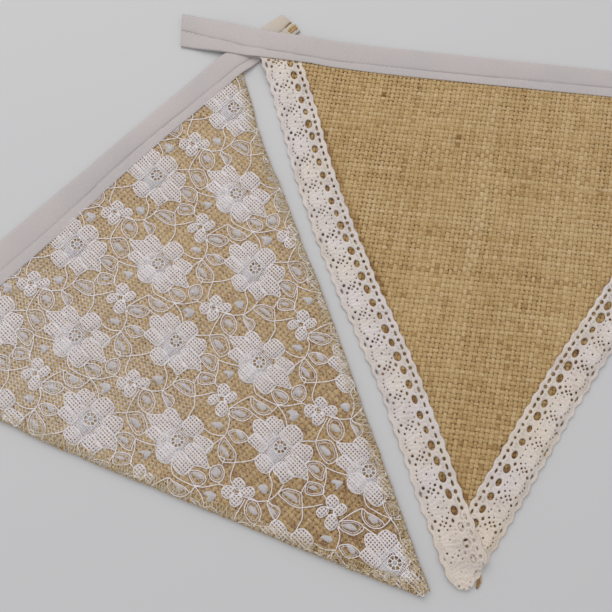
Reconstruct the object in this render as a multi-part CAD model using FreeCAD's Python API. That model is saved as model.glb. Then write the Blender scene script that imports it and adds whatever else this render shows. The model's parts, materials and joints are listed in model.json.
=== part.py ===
"""Two lengths of hessian and lace bunting, one laid across the other: a triangular hessian pennant on a folded binding tape each.

Frame: millimetres, +Z up, X along the upper tape. The origin is the centre of the footprint, on the surface the bunting lies on.
The lower length (tape, pennant with floral lace and overlocked edges) is the ground; the upper length crosses over it.
Each pennant swings about the lower edge of its own tape. Cloth is thin, so every soft layer is a plain plate of its real place and size."""
import FreeCAD, Part
import math
import os

os.makedirs("parts", exist_ok=True)
V = FreeCAD.Vector

# ---- driving dimensions, mm
SHIFT = V(9.625, -92.52, 0)        # puts the middle of the footprint at the origin

CLOTH = 1.1                      # hessian, laid flat
LEAF = 0.5                       # one doubled leaf of the binding
FOLD_IN = 1.2                    # room between the two leaves, filled by the pennant's heading
TAPE_T = 2 * LEAF + FOLD_IN      # whole tape
START = 0.8                      # the hanging part of a pennant starts this far from the tape's edge
AXIS_Z = 2.4                     # height of the two swing lines

# lower length: its own frame starts on the tape's open edge, near the crossing
LOW_AT = V(-57.0, 204.0, 0)
LOW_DIR = 231.6                  # degrees, the way the tape runs from the crossing
LOW_ENDS = (-23.5, 272.0)        # along the tape
LOW_W = ((-23.5, 15.4), (20.0, 16.0), (165.0, 17.0), (272.0, 17.6))  # where, width
LOW_STITCH = 4.5                 # from the open edge
P1_BASE = (12.5, 244.0)          # where the pennant's corners meet the tape
P1_TIP = (127.4, 244.3)
P1_BLUNT = 2.6                   # the tip is this much shorter than the two edges' meeting point
LACE1_T = 0.4
OVERLOCK_W = 4.6
OVERLOCK_T = 0.4
HEADING = 11.0                   # how far a pennant reaches into its binding

# upper length: runs along +X
UP_AT = V(-57.5, 203.4, 0)
UP_W = 15.6
UP_ENDS = (-44.5, 278.0)
UP_TAIL = (-2.0, 2.0)            # the tail bends away from here; its end is this far off the line
UP_LIFT = 2.8                    # the upper tape clears the lower one by this height
UP_FLAT_TO, UP_DOWN_AT = 24.0, 84.0   # it stays lifted to here, and is down on the surface here
UP_STITCH = 5.0
P2_BASE = (0.0, 250.0)           # outer edges of the crochet lace
P2_TIP = (125.2, 251.8)
P2_BLUNT = 7.0
LACE2_W = 18.0
LACE2_T = 0.8
LACE2_OVER = 6.0                 # the lace stands this far past the hessian's edge
LACE2_STITCH = 9.5               # row that holds the lace down, from its outer edge

PIVOT = V(-61.8, 210.9, 0)       # where the two tapes' centre lines cross


class Local:
    """A tape's own frame: s along it, v out from its open edge towards the pennant."""

    def __init__(self, at, u, v):
        self.at, self.u, self.v = at, u, v

    def __call__(self, s, v, z=0.0):
        return self.at + self.u * s + self.v * v + V(0, 0, z) + SHIFT

    def plate(self, outline, z0, z1):
        """A flat plate between two heights."""
        points = [self(s, v, z0) for s, v in outline]
        return Part.Face(Part.makePolygon(points + points[:1])).extrude(V(0, 0, z1 - z0))

    def ribbon(self, profile, v0, v1):
        """A plate whose side view is given as (s, z) points, from v0 to v1."""
        points = [self(s, v0, z) for s, z in profile]
        return Part.Face(Part.makePolygon(points + points[:1])).extrude(self.v * (v1 - v0))


a = math.radians(LOW_DIR)
low = Local(LOW_AT, V(math.cos(a), math.sin(a), 0), V(-math.sin(a), math.cos(a), 0))
up = Local(UP_AT, V(1, 0, 0), V(0, -1, 0))

made = {}


def fused(first, *others):
    shape = first.multiFuse(list(others)).removeSplitter() if others else first
    return shape


def write(name, shape):
    made[name] = shape
    shape.exportStep("parts/" + name + ".step")


def inset(p, q, inside, d):
    """The line p-q moved by d towards the point inside."""
    dx, dy = q[0] - p[0], q[1] - p[1]
    n = math.hypot(dx, dy)
    nx, ny = -dy / n, dx / n
    if (inside[0] - p[0]) * nx + (inside[1] - p[1]) * ny < 0:
        nx, ny = -nx, -ny
    return (p[0] + nx * d, p[1] + ny * d), (q[0] + nx * d, q[1] + ny * d)


def at_v(line, v):
    """Where a line crosses a distance from the tape."""
    (s0, v0), (s1, v1) = line
    return (s0 + (s1 - s0) * (v - v0) / (v1 - v0), v)


def pennant(base, tip, v0, v1, d):
    """A blunt triangle with both slanted edges moved in by d, from v0 to v1."""
    left = inset((base[0], 0), tip, (tip[0], 0), d)
    right = inset((base[1], 0), tip, (tip[0], 0), d)
    return [at_v(left, v0), at_v(right, v0), at_v(right, v1), at_v(left, v1)]


def strip(base_s, tip, d0, d1, v0, v1):
    """A band along one slanted edge, from d0 to d1 inside it."""
    outer = inset((base_s, 0), tip, (tip[0], 0), d0)
    inner = inset((base_s, 0), tip, (tip[0], 0), d1)
    return [at_v(outer, v0), at_v(inner, v0), at_v(inner, v1), at_v(outer, v1)]


def crossing_v(base_s, tip, d):
    """How far down the band's inner line reaches the pennant's middle line."""
    (s0, v0), (s1, v1) = inset((base_s, 0), tip, (tip[0], 0), d)
    return v0 + (v1 - v0) * (tip[0] - s0) / (s1 - s0)


# ---- lower length: binding, heading, stitches
edge = [(s, -w) for s, w in LOW_W]
inner_edge = [(s, -w + LEAF) for s, w in LOW_W]
leaf = [(LOW_ENDS[0], 0), (LOW_ENDS[1], 0)] + edge[::-1]
fold = edge + inner_edge[::-1]
write(
    "lower_binding_tape",
    fused(
        low.plate(leaf, 0, LEAF),
        low.plate(fold, 0, TAPE_T),
        low.plate(leaf, TAPE_T - LEAF, TAPE_T),
    ),
)
write(
    "panel_heading_1",
    low.plate(
        [(P1_BASE[0] + 1, -0.1), (P1_BASE[1] - 1, -0.1), (P1_BASE[1] - 1, -HEADING), (P1_BASE[0] + 1, -HEADING)],
        LEAF,
        TAPE_T - LEAF,
    ),
)
write(
    "burlap_scrap",
    low.plate([(LOW_ENDS[0] - 1.5, -1.0), (-15.0, -1.0), (-15.0, -9.0), (LOW_ENDS[0] - 1.5, -4.0)], LEAF, TAPE_T - LEAF),
)
write(
    "lower_tape_topstitch",
    low.plate(
        [(LOW_ENDS[0] + 1, -LOW_STITCH), (LOW_ENDS[1] - 1, -LOW_STITCH), (LOW_ENDS[1] - 1, -LOW_STITCH - 0.6), (LOW_ENDS[0] + 1, -LOW_STITCH - 0.6)],
        TAPE_T,
        TAPE_T + 0.2,
    ),
)

# ---- pennant 1: hessian, floral lace over it, overlocked slanted edges
P1_V = P1_TIP[1] - P1_BLUNT
LIP = 0.5
write("burlap_panel_1", low.plate(pennant(P1_BASE, P1_TIP, START, P1_V - LIP, LIP), 0, CLOTH))
write("floral_lace_1", low.plate(pennant(P1_BASE, P1_TIP, START, P1_V - LIP, LIP), CLOTH, CLOTH + LACE1_T))
top1 = CLOTH + LACE1_T
meet1 = crossing_v(P1_BASE[0], P1_TIP, OVERLOCK_W)
for name, base_s in (("edge_overlock_right_1", P1_BASE[0]), ("edge_overlock_left_1", P1_BASE[1])):
    outer = inset((base_s, 0), P1_TIP, (P1_TIP[0], 0), 0)
    lip = inset((base_s, 0), P1_TIP, (P1_TIP[0], 0), LIP)
    inner = inset((base_s, 0), P1_TIP, (P1_TIP[0], 0), OVERLOCK_W)
    band = [at_v(outer, START), at_v(inner, START), at_v(inner, meet1 - 0.2)]
    side = 1 if base_s > P1_TIP[0] else -1
    band += [(P1_TIP[0] + side * 0.1, meet1 + 0.1), (P1_TIP[0] + side * 0.1, P1_V), at_v(outer, P1_V)]
    rim = [at_v(outer, START), at_v(lip, START), at_v(lip, P1_V), at_v(outer, P1_V)]
    write(name, fused(low.plate(band, top1, top1 + OVERLOCK_T), low.plate(rim, 0, top1)))

# ---- upper length: binding with its tail, heading, stitches
def lifted(z0, z1, s0, s1):
    """Side view of a layer of the upper tape, from s0 to s1."""
    def z(s):
        if s <= UP_FLAT_TO:
            return UP_LIFT
        if s >= UP_DOWN_AT:
            return 0.0
        return UP_LIFT * (UP_DOWN_AT - s) / (UP_DOWN_AT - UP_FLAT_TO)

    stops = [s0] + [s for s in (UP_FLAT_TO, UP_DOWN_AT) if s0 < s < s1] + [s1]
    return [(s, z(s) + z0) for s in stops] + [(s, z(s) + z1) for s in stops[::-1]]


BEND, OFF = UP_TAIL
tail = [(BEND, 0), (BEND, -UP_W), (UP_ENDS[0], -UP_W - OFF), (UP_ENDS[0], -OFF)]
tail_fold = [(BEND, -UP_W), (UP_ENDS[0], -UP_W - OFF), (UP_ENDS[0], -UP_W - OFF + LEAF), (BEND, -UP_W + LEAF)]
write(
    "upper_binding_tape",
    fused(
        up.ribbon(lifted(0, LEAF, BEND, UP_ENDS[1]), 0, -UP_W),
        up.ribbon(lifted(0, TAPE_T, BEND, UP_ENDS[1]), -UP_W + LEAF, -UP_W),
        up.ribbon(lifted(TAPE_T - LEAF, TAPE_T, BEND, UP_ENDS[1]), 0, -UP_W),
        up.plate(tail, UP_LIFT, UP_LIFT + LEAF),
        up.plate(tail_fold, UP_LIFT, UP_LIFT + TAPE_T),
        up.plate(tail, UP_LIFT + TAPE_T - LEAF, UP_LIFT + TAPE_T),
    ),
)
write(
    "upper_tape_topstitch",
    fused(
        up.ribbon(lifted(TAPE_T, TAPE_T + 0.2, BEND, UP_ENDS[1] - 1), -UP_STITCH, -UP_STITCH - 0.6),
        up.plate(
            [(BEND, -UP_STITCH), (BEND, -UP_STITCH - 0.6), (UP_ENDS[0] + 1, -UP_STITCH - 0.6 - OFF - 1.5), (UP_ENDS[0] + 1, -UP_STITCH - OFF - 1.5)],
            UP_LIFT + TAPE_T,
            UP_LIFT + TAPE_T + 0.2,
        ),
    ),
)
burlap_base = LACE2_OVER / math.sin(math.atan2(P2_TIP[1], P2_TIP[0]))
lace_base = LACE2_W / math.sin(math.atan2(P2_TIP[1], P2_TIP[0]))
write("panel_heading_2", up.ribbon(lifted(LEAF, TAPE_T - LEAF, P2_BASE[0] + lace_base, P2_BASE[1] - lace_base), -0.1, -HEADING))
write("lace_head_left_2", up.ribbon(lifted(LEAF, TAPE_T - LEAF, P2_BASE[0] + 0.5, P2_BASE[0] + lace_base), -0.1, -HEADING))
write("lace_head_right_2", up.ribbon(lifted(LEAF, TAPE_T - LEAF, P2_BASE[1] - lace_base, P2_BASE[1] - 0.5), -0.1, -HEADING))

# ---- pennant 2: hessian with crochet lace along both slanted edges
P2_V = P2_TIP[1] - P2_BLUNT
burlap2_v = P2_V - 11.5
write("burlap_panel_2", up.plate(pennant(P2_BASE, P2_TIP, START, burlap2_v, LACE2_OVER), 0, CLOTH))
meet2 = crossing_v(P2_BASE[0], P2_TIP, LACE2_W)
left_line = [inset((P2_BASE[0], 0), P2_TIP, (P2_TIP[0], 0), d) for d in (0, LACE2_OVER, LACE2_OVER - 0.8, LACE2_W)]
right_line = [inset((P2_BASE[1], 0), P2_TIP, (P2_TIP[0], 0), d) for d in (0, LACE2_OVER, LACE2_OVER - 0.8, LACE2_W)]
for name, lines, side in (("crochet_lace_left_2", left_line, -1), ("crochet_lace_right_2", right_line, 1)):
    outer, hem, wall, inner = lines
    mid = P2_TIP[0] + side * 0.1
    on_top = [at_v(wall, START), at_v(inner, START), at_v(inner, meet2 - 0.2), (mid, meet2 + 0.1), (mid, P2_V)]
    on_top += [at_v(wall, P2_V) if (at_v(wall, P2_V)[0] - mid) * side > 0.1 else (mid + side * 0.1, P2_V)]
    over = [at_v(outer, START), at_v(wall, START), at_v(wall, burlap2_v), at_v(outer, burlap2_v)]
    rise = [at_v(wall, START), at_v(hem, START), at_v(hem, burlap2_v), at_v(wall, burlap2_v)]
    tip = [at_v(outer, burlap2_v), (mid, burlap2_v), (mid, P2_V), at_v(outer, P2_V)]
    write(
        name,
        fused(
            up.plate(on_top, CLOTH, CLOTH + LACE2_T),
            up.plate(rise, 0, CLOTH + LACE2_T),
            up.plate(over, 0, LACE2_T),
            up.plate(tip, 0, CLOTH + LACE2_T),
        ),
    )
for name, base_s in (("lace_stitch_left_2", P2_BASE[0]), ("lace_stitch_right_2", P2_BASE[1])):
    row = strip(base_s, P2_TIP, LACE2_STITCH, LACE2_STITCH + 0.6, START + 1, crossing_v(base_s, P2_TIP, LACE2_STITCH + 0.6) - 2)
    write(name, up.plate(row, CLOTH + LACE2_T, CLOTH + LACE2_T + 0.2))

# ---- what the record states
whole = Part.makeCompound(list(made.values())).BoundBox
print("box", [round(x, 2) for x in (whole.XMin, whole.XMax, whole.YMin, whole.YMax, whole.ZMin, whole.ZMax)])
for name, shape in made.items():
    b = shape.BoundBox
    print(f"{name:24} solids {len(shape.Solids)} valid {shape.isValid()} volume {shape.Volume:9.1f}  z {b.ZMin:.2f}..{b.ZMax:.2f}  x {b.XMin:.1f}..{b.XMax:.1f} y {b.YMin:.1f}..{b.YMax:.1f}")
print("pivot", [round(x, 2) for x in PIVOT + SHIFT])
print("swing 1 at", [round(x, 2) for x in low(P1_BASE[0], 0, AXIS_Z)], "along", [round(x, 6) for x in low.u])
print("swing 2 at", [round(x, 2) for x in up(0, 0, AXIS_Z)], "along", [round(x, 6) for x in up.u])
print("low end", [round(x, 2) for x in low(LOW_ENDS[1], -LOW_W[-1][1] / 2, TAPE_T / 2)], "up end", [round(x, 2) for x in up(UP_ENDS[1], -UP_W / 2, TAPE_T / 2)])
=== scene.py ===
import bpy, json, math
import numpy as np
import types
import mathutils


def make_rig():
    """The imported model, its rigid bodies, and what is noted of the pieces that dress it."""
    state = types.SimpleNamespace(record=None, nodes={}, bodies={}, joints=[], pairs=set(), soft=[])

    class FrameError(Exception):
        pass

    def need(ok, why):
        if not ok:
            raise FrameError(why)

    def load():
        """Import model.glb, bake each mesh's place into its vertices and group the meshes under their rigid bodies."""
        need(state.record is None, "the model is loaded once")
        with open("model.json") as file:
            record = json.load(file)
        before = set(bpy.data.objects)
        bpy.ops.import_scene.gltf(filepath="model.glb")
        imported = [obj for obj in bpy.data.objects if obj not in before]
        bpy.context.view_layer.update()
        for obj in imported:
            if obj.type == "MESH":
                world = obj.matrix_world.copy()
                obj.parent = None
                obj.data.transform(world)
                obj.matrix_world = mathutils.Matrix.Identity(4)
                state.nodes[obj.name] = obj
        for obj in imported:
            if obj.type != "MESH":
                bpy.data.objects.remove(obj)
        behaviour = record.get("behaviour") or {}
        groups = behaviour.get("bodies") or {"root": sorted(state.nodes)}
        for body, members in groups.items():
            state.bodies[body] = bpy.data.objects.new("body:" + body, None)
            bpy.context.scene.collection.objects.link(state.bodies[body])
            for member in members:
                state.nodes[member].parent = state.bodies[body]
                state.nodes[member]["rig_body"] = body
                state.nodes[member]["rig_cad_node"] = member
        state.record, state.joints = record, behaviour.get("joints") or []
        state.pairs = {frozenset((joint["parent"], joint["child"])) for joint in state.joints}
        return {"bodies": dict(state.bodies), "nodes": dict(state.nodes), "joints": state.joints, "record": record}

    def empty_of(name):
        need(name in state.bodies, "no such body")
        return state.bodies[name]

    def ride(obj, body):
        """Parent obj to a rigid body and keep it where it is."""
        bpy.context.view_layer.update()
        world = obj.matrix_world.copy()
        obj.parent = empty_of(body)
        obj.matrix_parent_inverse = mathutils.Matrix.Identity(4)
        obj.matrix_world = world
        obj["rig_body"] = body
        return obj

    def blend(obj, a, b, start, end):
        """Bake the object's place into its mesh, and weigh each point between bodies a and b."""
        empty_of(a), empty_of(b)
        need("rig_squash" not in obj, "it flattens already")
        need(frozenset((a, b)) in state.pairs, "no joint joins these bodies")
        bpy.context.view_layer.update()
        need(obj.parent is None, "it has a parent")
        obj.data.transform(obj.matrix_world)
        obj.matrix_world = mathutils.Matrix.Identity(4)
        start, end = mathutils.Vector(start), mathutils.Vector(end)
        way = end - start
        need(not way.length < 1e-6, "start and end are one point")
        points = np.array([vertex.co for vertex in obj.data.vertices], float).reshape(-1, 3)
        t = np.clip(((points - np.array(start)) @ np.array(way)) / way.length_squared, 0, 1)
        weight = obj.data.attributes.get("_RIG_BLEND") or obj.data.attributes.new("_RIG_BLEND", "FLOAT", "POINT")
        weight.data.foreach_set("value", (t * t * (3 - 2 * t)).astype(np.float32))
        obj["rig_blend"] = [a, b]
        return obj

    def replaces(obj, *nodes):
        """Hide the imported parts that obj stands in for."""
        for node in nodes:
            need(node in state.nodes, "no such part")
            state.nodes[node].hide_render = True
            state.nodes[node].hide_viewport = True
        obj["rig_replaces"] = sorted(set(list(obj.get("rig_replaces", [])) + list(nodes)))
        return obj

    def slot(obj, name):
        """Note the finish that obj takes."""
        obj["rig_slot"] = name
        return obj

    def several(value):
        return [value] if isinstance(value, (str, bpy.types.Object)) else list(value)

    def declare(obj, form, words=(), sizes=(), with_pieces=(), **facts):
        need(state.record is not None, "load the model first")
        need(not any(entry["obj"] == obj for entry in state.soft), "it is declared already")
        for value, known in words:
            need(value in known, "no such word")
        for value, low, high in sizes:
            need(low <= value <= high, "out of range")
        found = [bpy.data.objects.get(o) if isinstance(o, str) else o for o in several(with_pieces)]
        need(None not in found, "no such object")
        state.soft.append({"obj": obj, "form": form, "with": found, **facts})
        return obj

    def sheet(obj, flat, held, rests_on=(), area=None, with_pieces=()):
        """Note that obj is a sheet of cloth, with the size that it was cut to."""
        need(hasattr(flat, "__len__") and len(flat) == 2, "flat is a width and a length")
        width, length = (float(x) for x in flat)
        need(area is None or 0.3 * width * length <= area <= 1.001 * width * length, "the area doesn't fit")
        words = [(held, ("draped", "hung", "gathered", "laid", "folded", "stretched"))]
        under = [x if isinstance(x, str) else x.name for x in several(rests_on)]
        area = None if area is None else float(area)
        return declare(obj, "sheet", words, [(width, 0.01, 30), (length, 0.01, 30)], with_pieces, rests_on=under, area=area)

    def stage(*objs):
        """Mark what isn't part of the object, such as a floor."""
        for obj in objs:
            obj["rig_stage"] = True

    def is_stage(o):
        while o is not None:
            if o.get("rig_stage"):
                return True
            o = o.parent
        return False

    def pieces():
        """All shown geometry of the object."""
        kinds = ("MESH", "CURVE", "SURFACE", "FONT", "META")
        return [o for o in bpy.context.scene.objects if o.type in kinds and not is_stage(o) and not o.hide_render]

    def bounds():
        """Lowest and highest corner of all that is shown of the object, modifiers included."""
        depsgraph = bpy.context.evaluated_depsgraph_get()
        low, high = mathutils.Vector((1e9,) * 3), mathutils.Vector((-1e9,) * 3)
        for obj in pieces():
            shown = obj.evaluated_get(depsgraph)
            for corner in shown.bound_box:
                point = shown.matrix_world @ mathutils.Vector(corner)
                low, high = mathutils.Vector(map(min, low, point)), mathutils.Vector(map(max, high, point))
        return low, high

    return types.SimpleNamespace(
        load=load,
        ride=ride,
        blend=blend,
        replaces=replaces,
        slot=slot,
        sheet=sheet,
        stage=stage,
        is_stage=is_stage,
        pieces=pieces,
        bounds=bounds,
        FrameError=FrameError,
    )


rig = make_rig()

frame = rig.load()
CAD_BOX = [[float(x) for x in p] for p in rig.bounds()]
MM = 0.001
rng = np.random.default_rng(7)

# ------------------------------------------------------------------ the two tapes' own frames, mm
joints = {j["name"]: j for j in frame["record"]["behaviour"]["joints"]}


class Local:
    """s runs along a tape's open edge, v out from it towards the pennant, h up."""

    def __init__(self, joint, back):
        j = joints[joint]
        self.u = np.array(j["axis"], float) * (1 if joint == "pennant_1_swing" else -1)
        self.v = np.array([-self.u[1], self.u[0], 0.0]) * (1 if joint == "pennant_1_swing" else -1)
        self.o = np.array(j["pos_m"], float) * 1000 * [1, 1, 0] - self.u * back

    def __call__(self, s, v, h=0.0):
        s, v, h = np.broadcast_arrays(np.asarray(s, float), np.asarray(v, float), np.asarray(h, float))
        return self.o + s[..., None] * self.u + v[..., None] * self.v + h[..., None] * np.array([0, 0, 1.0])


low = Local("pennant_1_swing", 12.5)
up = Local("pennant_2_swing", 0.0)

# ------------------------------------------------------------------ sizes, mm
P1_BASE, P1_TIP, P1_V = (12.5, 244.0), (127.4, 244.3), 241.7
P2_BASE, P2_TIP, P2_V = (0.0, 250.0), (125.2, 251.8), 244.8
LOW_ENDS, UP_ENDS = (-24.0, 272.0), (-44.5, 278.0)
PITCH_WARP, PITCH_WEFT = 2.18, 2.27
EDGE_IN = 2.9  # pennant 2's hessian ends this far inside the lace's outer edge


# ------------------------------------------------------------------ smooth noise
LATTICES = {}


def lattice(seed, n=64):
    if seed not in LATTICES:
        LATTICES[seed] = np.random.default_rng(seed).random((n, n)) * 2 - 1
    return LATTICES[seed]


def noise2(x, y, size, seed):
    """Smooth value noise from -1 to 1 with features of about size."""
    g = lattice(seed)
    n = len(g)
    x, y = np.asarray(x, float) / size + 1000.3, np.asarray(y, float) / size + 1000.7
    x, y = np.broadcast_arrays(x, y)
    i, j = np.floor(x).astype(int), np.floor(y).astype(int)
    fx, fy = x - i, y - j
    fx, fy = fx * fx * (3 - 2 * fx), fy * fy * (3 - 2 * fy)
    a, b = g[i % n, j % n], g[(i + 1) % n, j % n]
    c, d = g[i % n, (j + 1) % n], g[(i + 1) % n, (j + 1) % n]
    return (a * (1 - fx) + b * fx) * (1 - fy) + (c * (1 - fx) + d * fx) * fy


def smooth(x, a, b):
    t = np.clip((np.asarray(x, float) - a) / (b - a), 0, 1)
    return t * t * (3 - 2 * t)


# ------------------------------------------------------------------ how the cloth lies
def lift(s):
    """Height of the upper tape's underside: it rests on the lower tape and comes down beside it."""
    return 1.75 * (1 - smooth(s, 22, 70)) - 1.62 * smooth(-np.asarray(s, float), 19, 40)


def lie1(s, v):
    """Middle surface of pennant 1's hessian."""
    base = 0.78 + 0.35 * (1 - smooth(v, -2, 16))
    wave = 0.55 * (1 + noise2(s, v, 62, 3)) * smooth(v, 4, 40)
    edge = 0.35 * (1 + noise2(s, v, 27, 5)) * smooth(v, 10, 60)
    return base + wave + edge


def lie2(s, v):
    """Middle surface of pennant 2's hessian."""
    base = 0.78 + (0.35 + lift(s)) * (1 - smooth(v, 0, 30 + 0 * s))
    wave = 0.6 * (1 + noise2(s, v, 70, 13)) * smooth(v, 6, 50)
    edge = 0.3 * (1 + noise2(s, v, 30, 15)) * smooth(v, 10, 60)
    return base + wave + edge


# ------------------------------------------------------------------ mesh building
class Mesher:
    def __init__(self):
        self.v, self.f, self.n, self.r = [], {3: [], 4: []}, 0, []

    def add(self, verts, faces, rnd=0.5):
        """verts in mm, faces as an array with 3 or 4 columns, or a list of such arrays; rnd is one number or one per vertex."""
        verts = np.asarray(verts, float).reshape(-1, 3)
        for q in faces if isinstance(faces, list) else [faces]:
            if len(q):
                self.f[q.shape[1]].append(np.asarray(q) + self.n)
        self.v.append(verts)
        self.r.append(np.broadcast_to(np.asarray(rnd, float), (len(verts),)))
        self.n += len(verts)

    def object(self, name, material):
        verts = np.concatenate(self.v) * MM
        faces = [np.concatenate(self.f[k]) for k in (3, 4) if self.f[k]]
        mesh = bpy.data.meshes.new(name)
        mesh.vertices.add(len(verts))
        mesh.vertices.foreach_set("co", verts.astype(np.float32).ravel())
        loops = np.concatenate([f.ravel() for f in faces])
        totals = np.concatenate([np.full(len(f), f.shape[1]) for f in faces])
        mesh.loops.add(len(loops))
        mesh.loops.foreach_set("vertex_index", loops.astype(np.int32))
        mesh.polygons.add(len(totals))
        mesh.polygons.foreach_set("loop_start", (np.cumsum(totals) - totals).astype(np.int32))
        mesh.polygons.foreach_set("use_smooth", np.ones(len(totals), bool))
        mesh.update(calc_edges=True)
        mesh.validate()
        a = mesh.attributes.new("rnd", "FLOAT", "POINT")
        a.data.foreach_set("value", np.concatenate(self.r).astype(np.float32))
        mesh.materials.append(material)
        o = bpy.data.objects.new(name, mesh)
        bpy.context.scene.collection.objects.link(o)
        return o


def tube(m, P, up_dir, a, b, sides=6, closed=False, rnd=0.5, turn=0.0):
    """A thread along P (n,3): a is its half width across, b its half height along up_dir."""
    P = np.asarray(P, float)
    n = len(P)
    T = np.gradient(P, axis=0) if not closed else np.roll(P, -1, 0) - np.roll(P, 1, 0)
    T /= np.linalg.norm(T, axis=1, keepdims=True) + 1e-12
    N = np.broadcast_to(np.asarray(up_dir, float), P.shape)
    B = np.cross(T, N)
    B /= np.linalg.norm(B, axis=1, keepdims=True) + 1e-12
    N = np.cross(B, T)
    ang = np.arange(sides) * 2 * np.pi / sides + turn
    a, b = np.broadcast_to(a, (n,)), np.broadcast_to(b, (n,))
    ring = (
        P[:, None]
        + (a[:, None] * np.cos(ang))[..., None] * B[:, None]
        + (b[:, None] * np.sin(ang))[..., None] * N[:, None]
    )
    k = np.arange(sides)
    rows = np.arange(n if closed else n - 1)
    i0 = rows[:, None] * sides
    i1 = ((rows + 1) % n)[:, None] * sides
    k1 = (k + 1) % sides
    quads = np.stack([i0 + k, i0 + k1, i1 + k1, i1 + k], -1).reshape(-1, 4)
    faces = [quads]
    verts = ring.reshape(-1, 3)
    if not closed:
        caps = np.concatenate([P[:1], P[-1:]])
        c0, c1 = len(verts), len(verts) + 1
        verts = np.concatenate([verts, caps])
        last = (n - 1) * sides
        faces.append(np.stack([np.full(sides, c0), k1, k], -1))
        faces.append(np.stack([np.full(sides, c1), last + k, last + k1], -1))
    m.add(verts, faces, rnd)


def tubes(m, P, a, b, sides, rnd, turn=0.0):
    """Many threads at once: P is (k, n, 3); a, b and rnd are numbers or one per thread."""
    K, n = P.shape[:2]
    T = np.gradient(P, axis=1)
    T /= np.linalg.norm(T, axis=2, keepdims=True) + 1e-12
    B = np.cross(T, np.array([0, 0, 1.0]))
    B /= np.linalg.norm(B, axis=2, keepdims=True) + 1e-12
    N = np.cross(B, T)
    ang = np.arange(sides) * 2 * np.pi / sides + turn
    a, b = (np.broadcast_to(np.asarray(x, float).reshape(-1, 1, 1, 1), (K, 1, 1, 1)) for x in (a, b))
    ring = P[:, :, None] + a * np.cos(ang)[None, None, :, None] * B[:, :, None] + b * np.sin(ang)[None, None, :, None] * N[:, :, None]
    verts = np.concatenate([ring.reshape(K, n * sides, 3), P[:, :1], P[:, -1:]], 1)
    k = np.arange(sides)
    k1 = (k + 1) % sides
    i0 = (np.arange(n - 1) * sides)[:, None]
    quads = np.stack([i0 + k, i0 + k1, i0 + sides + k1, i0 + sides + k], -1).reshape(-1, 4)
    last = (n - 1) * sides
    caps = np.concatenate([np.stack([np.full(sides, n * sides), k1, k], -1), np.stack([np.full(sides, n * sides + 1), last + k, last + k1], -1)])
    off = (np.arange(K) * (n * sides + 2))[:, None, None]
    shade = np.repeat(np.broadcast_to(np.asarray(rnd, float), (K,)), n * sides + 2)
    m.add(verts.reshape(-1, 3), [(quads[None] + off).reshape(-1, 4), (caps[None] + off).reshape(-1, 3)], shade)


def convex_span(p, d, poly):
    """The part of the line p + t d inside a convex polygon, or None."""
    t0, t1 = -1e9, 1e9
    c = np.mean(poly, axis=0)
    for i in range(len(poly)):
        a, b = np.array(poly[i]), np.array(poly[(i + 1) % len(poly)])
        n = np.array([-(b - a)[1], (b - a)[0]])
        if n @ (c - a) < 0:
            n = -n
        den, num = n @ d, n @ (p - a)
        if abs(den) < 1e-12:
            if num < 0:
                return None
            continue
        t = -num / den
        if den > 0:
            t0 = max(t0, t)
        else:
            t1 = min(t1, t)
    return (t0, t1) if t1 - t0 > 1.2 else None


# ------------------------------------------------------------------ materials
def nodes(name, color, rough, sheen=0.0, spec=0.3):
    mat = bpy.data.materials.new(name)
    mat.use_nodes = True
    nt = mat.node_tree
    p = nt.nodes["Principled BSDF"]
    p.inputs["Base Color"].default_value = (*color, 1)
    p.inputs["Roughness"].default_value = rough
    p.inputs["Specular IOR Level"].default_value = spec
    p.inputs["Sheen Weight"].default_value = sheen
    p.inputs["Sheen Roughness"].default_value = 0.5
    return mat, nt, p


def node(nt, kind, **values):
    n = nt.nodes.new(kind)
    for k, v in values.items():
        if k in n.inputs:
            n.inputs[k].default_value = v
        else:
            setattr(n, k, v)
    return n


def ramp(nt, source, stops):
    r = nt.nodes.new("ShaderNodeValToRGB")
    while len(r.color_ramp.elements) < len(stops):
        r.color_ramp.elements.new(0.5)
    for e, (pos, col) in zip(r.color_ramp.elements, stops):
        e.position, e.color = pos, (*col, 1)
    nt.links.new(source, r.inputs["Fac"])
    return r.outputs["Color"]


def mix(nt, a, b, fac, blend="MIX"):
    n = nt.nodes.new("ShaderNodeMix")
    n.data_type, n.blend_type = "RGBA", blend
    for sock, val in ((n.inputs[0], fac), (n.inputs[6], a), (n.inputs[7], b)):
        if isinstance(val, bpy.types.NodeSocket):
            nt.links.new(val, sock)
        elif isinstance(val, tuple):
            sock.default_value = (*val, 1)
        else:
            sock.default_value = val
    return n.outputs[2]


def math_node(nt, op, a, b=0.0):
    n = nt.nodes.new("ShaderNodeMath")
    n.operation = op
    for sock, val in ((n.inputs[0], a), (n.inputs[1], b)):
        if isinstance(val, bpy.types.NodeSocket):
            nt.links.new(val, sock)
        else:
            sock.default_value = val
    return n.outputs[0]


def coords(nt, scale):
    tc = nt.nodes.new("ShaderNodeTexCoord")
    mp = nt.nodes.new("ShaderNodeMapping")
    mp.inputs["Scale"].default_value = (scale,) * 3 if not hasattr(scale, "__len__") else scale
    nt.links.new(tc.outputs["Object"], mp.inputs["Vector"])
    return mp.outputs["Vector"]


def noise_tex(nt, scale, detail=2.0, rough=0.5):
    n = nt.nodes.new("ShaderNodeTexNoise")
    n.inputs["Scale"].default_value = 1.0
    n.inputs["Detail"].default_value = detail
    n.inputs["Roughness"].default_value = rough
    nt.links.new(coords(nt, scale), n.inputs["Vector"])
    return n.outputs["Fac"]


def bump(nt, p, height, strength, distance):
    b = nt.nodes.new("ShaderNodeBump")
    b.inputs["Strength"].default_value = strength
    b.inputs["Distance"].default_value = distance
    nt.links.new(height, b.inputs["Height"])
    nt.links.new(b.outputs["Normal"], p.inputs["Normal"])


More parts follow.
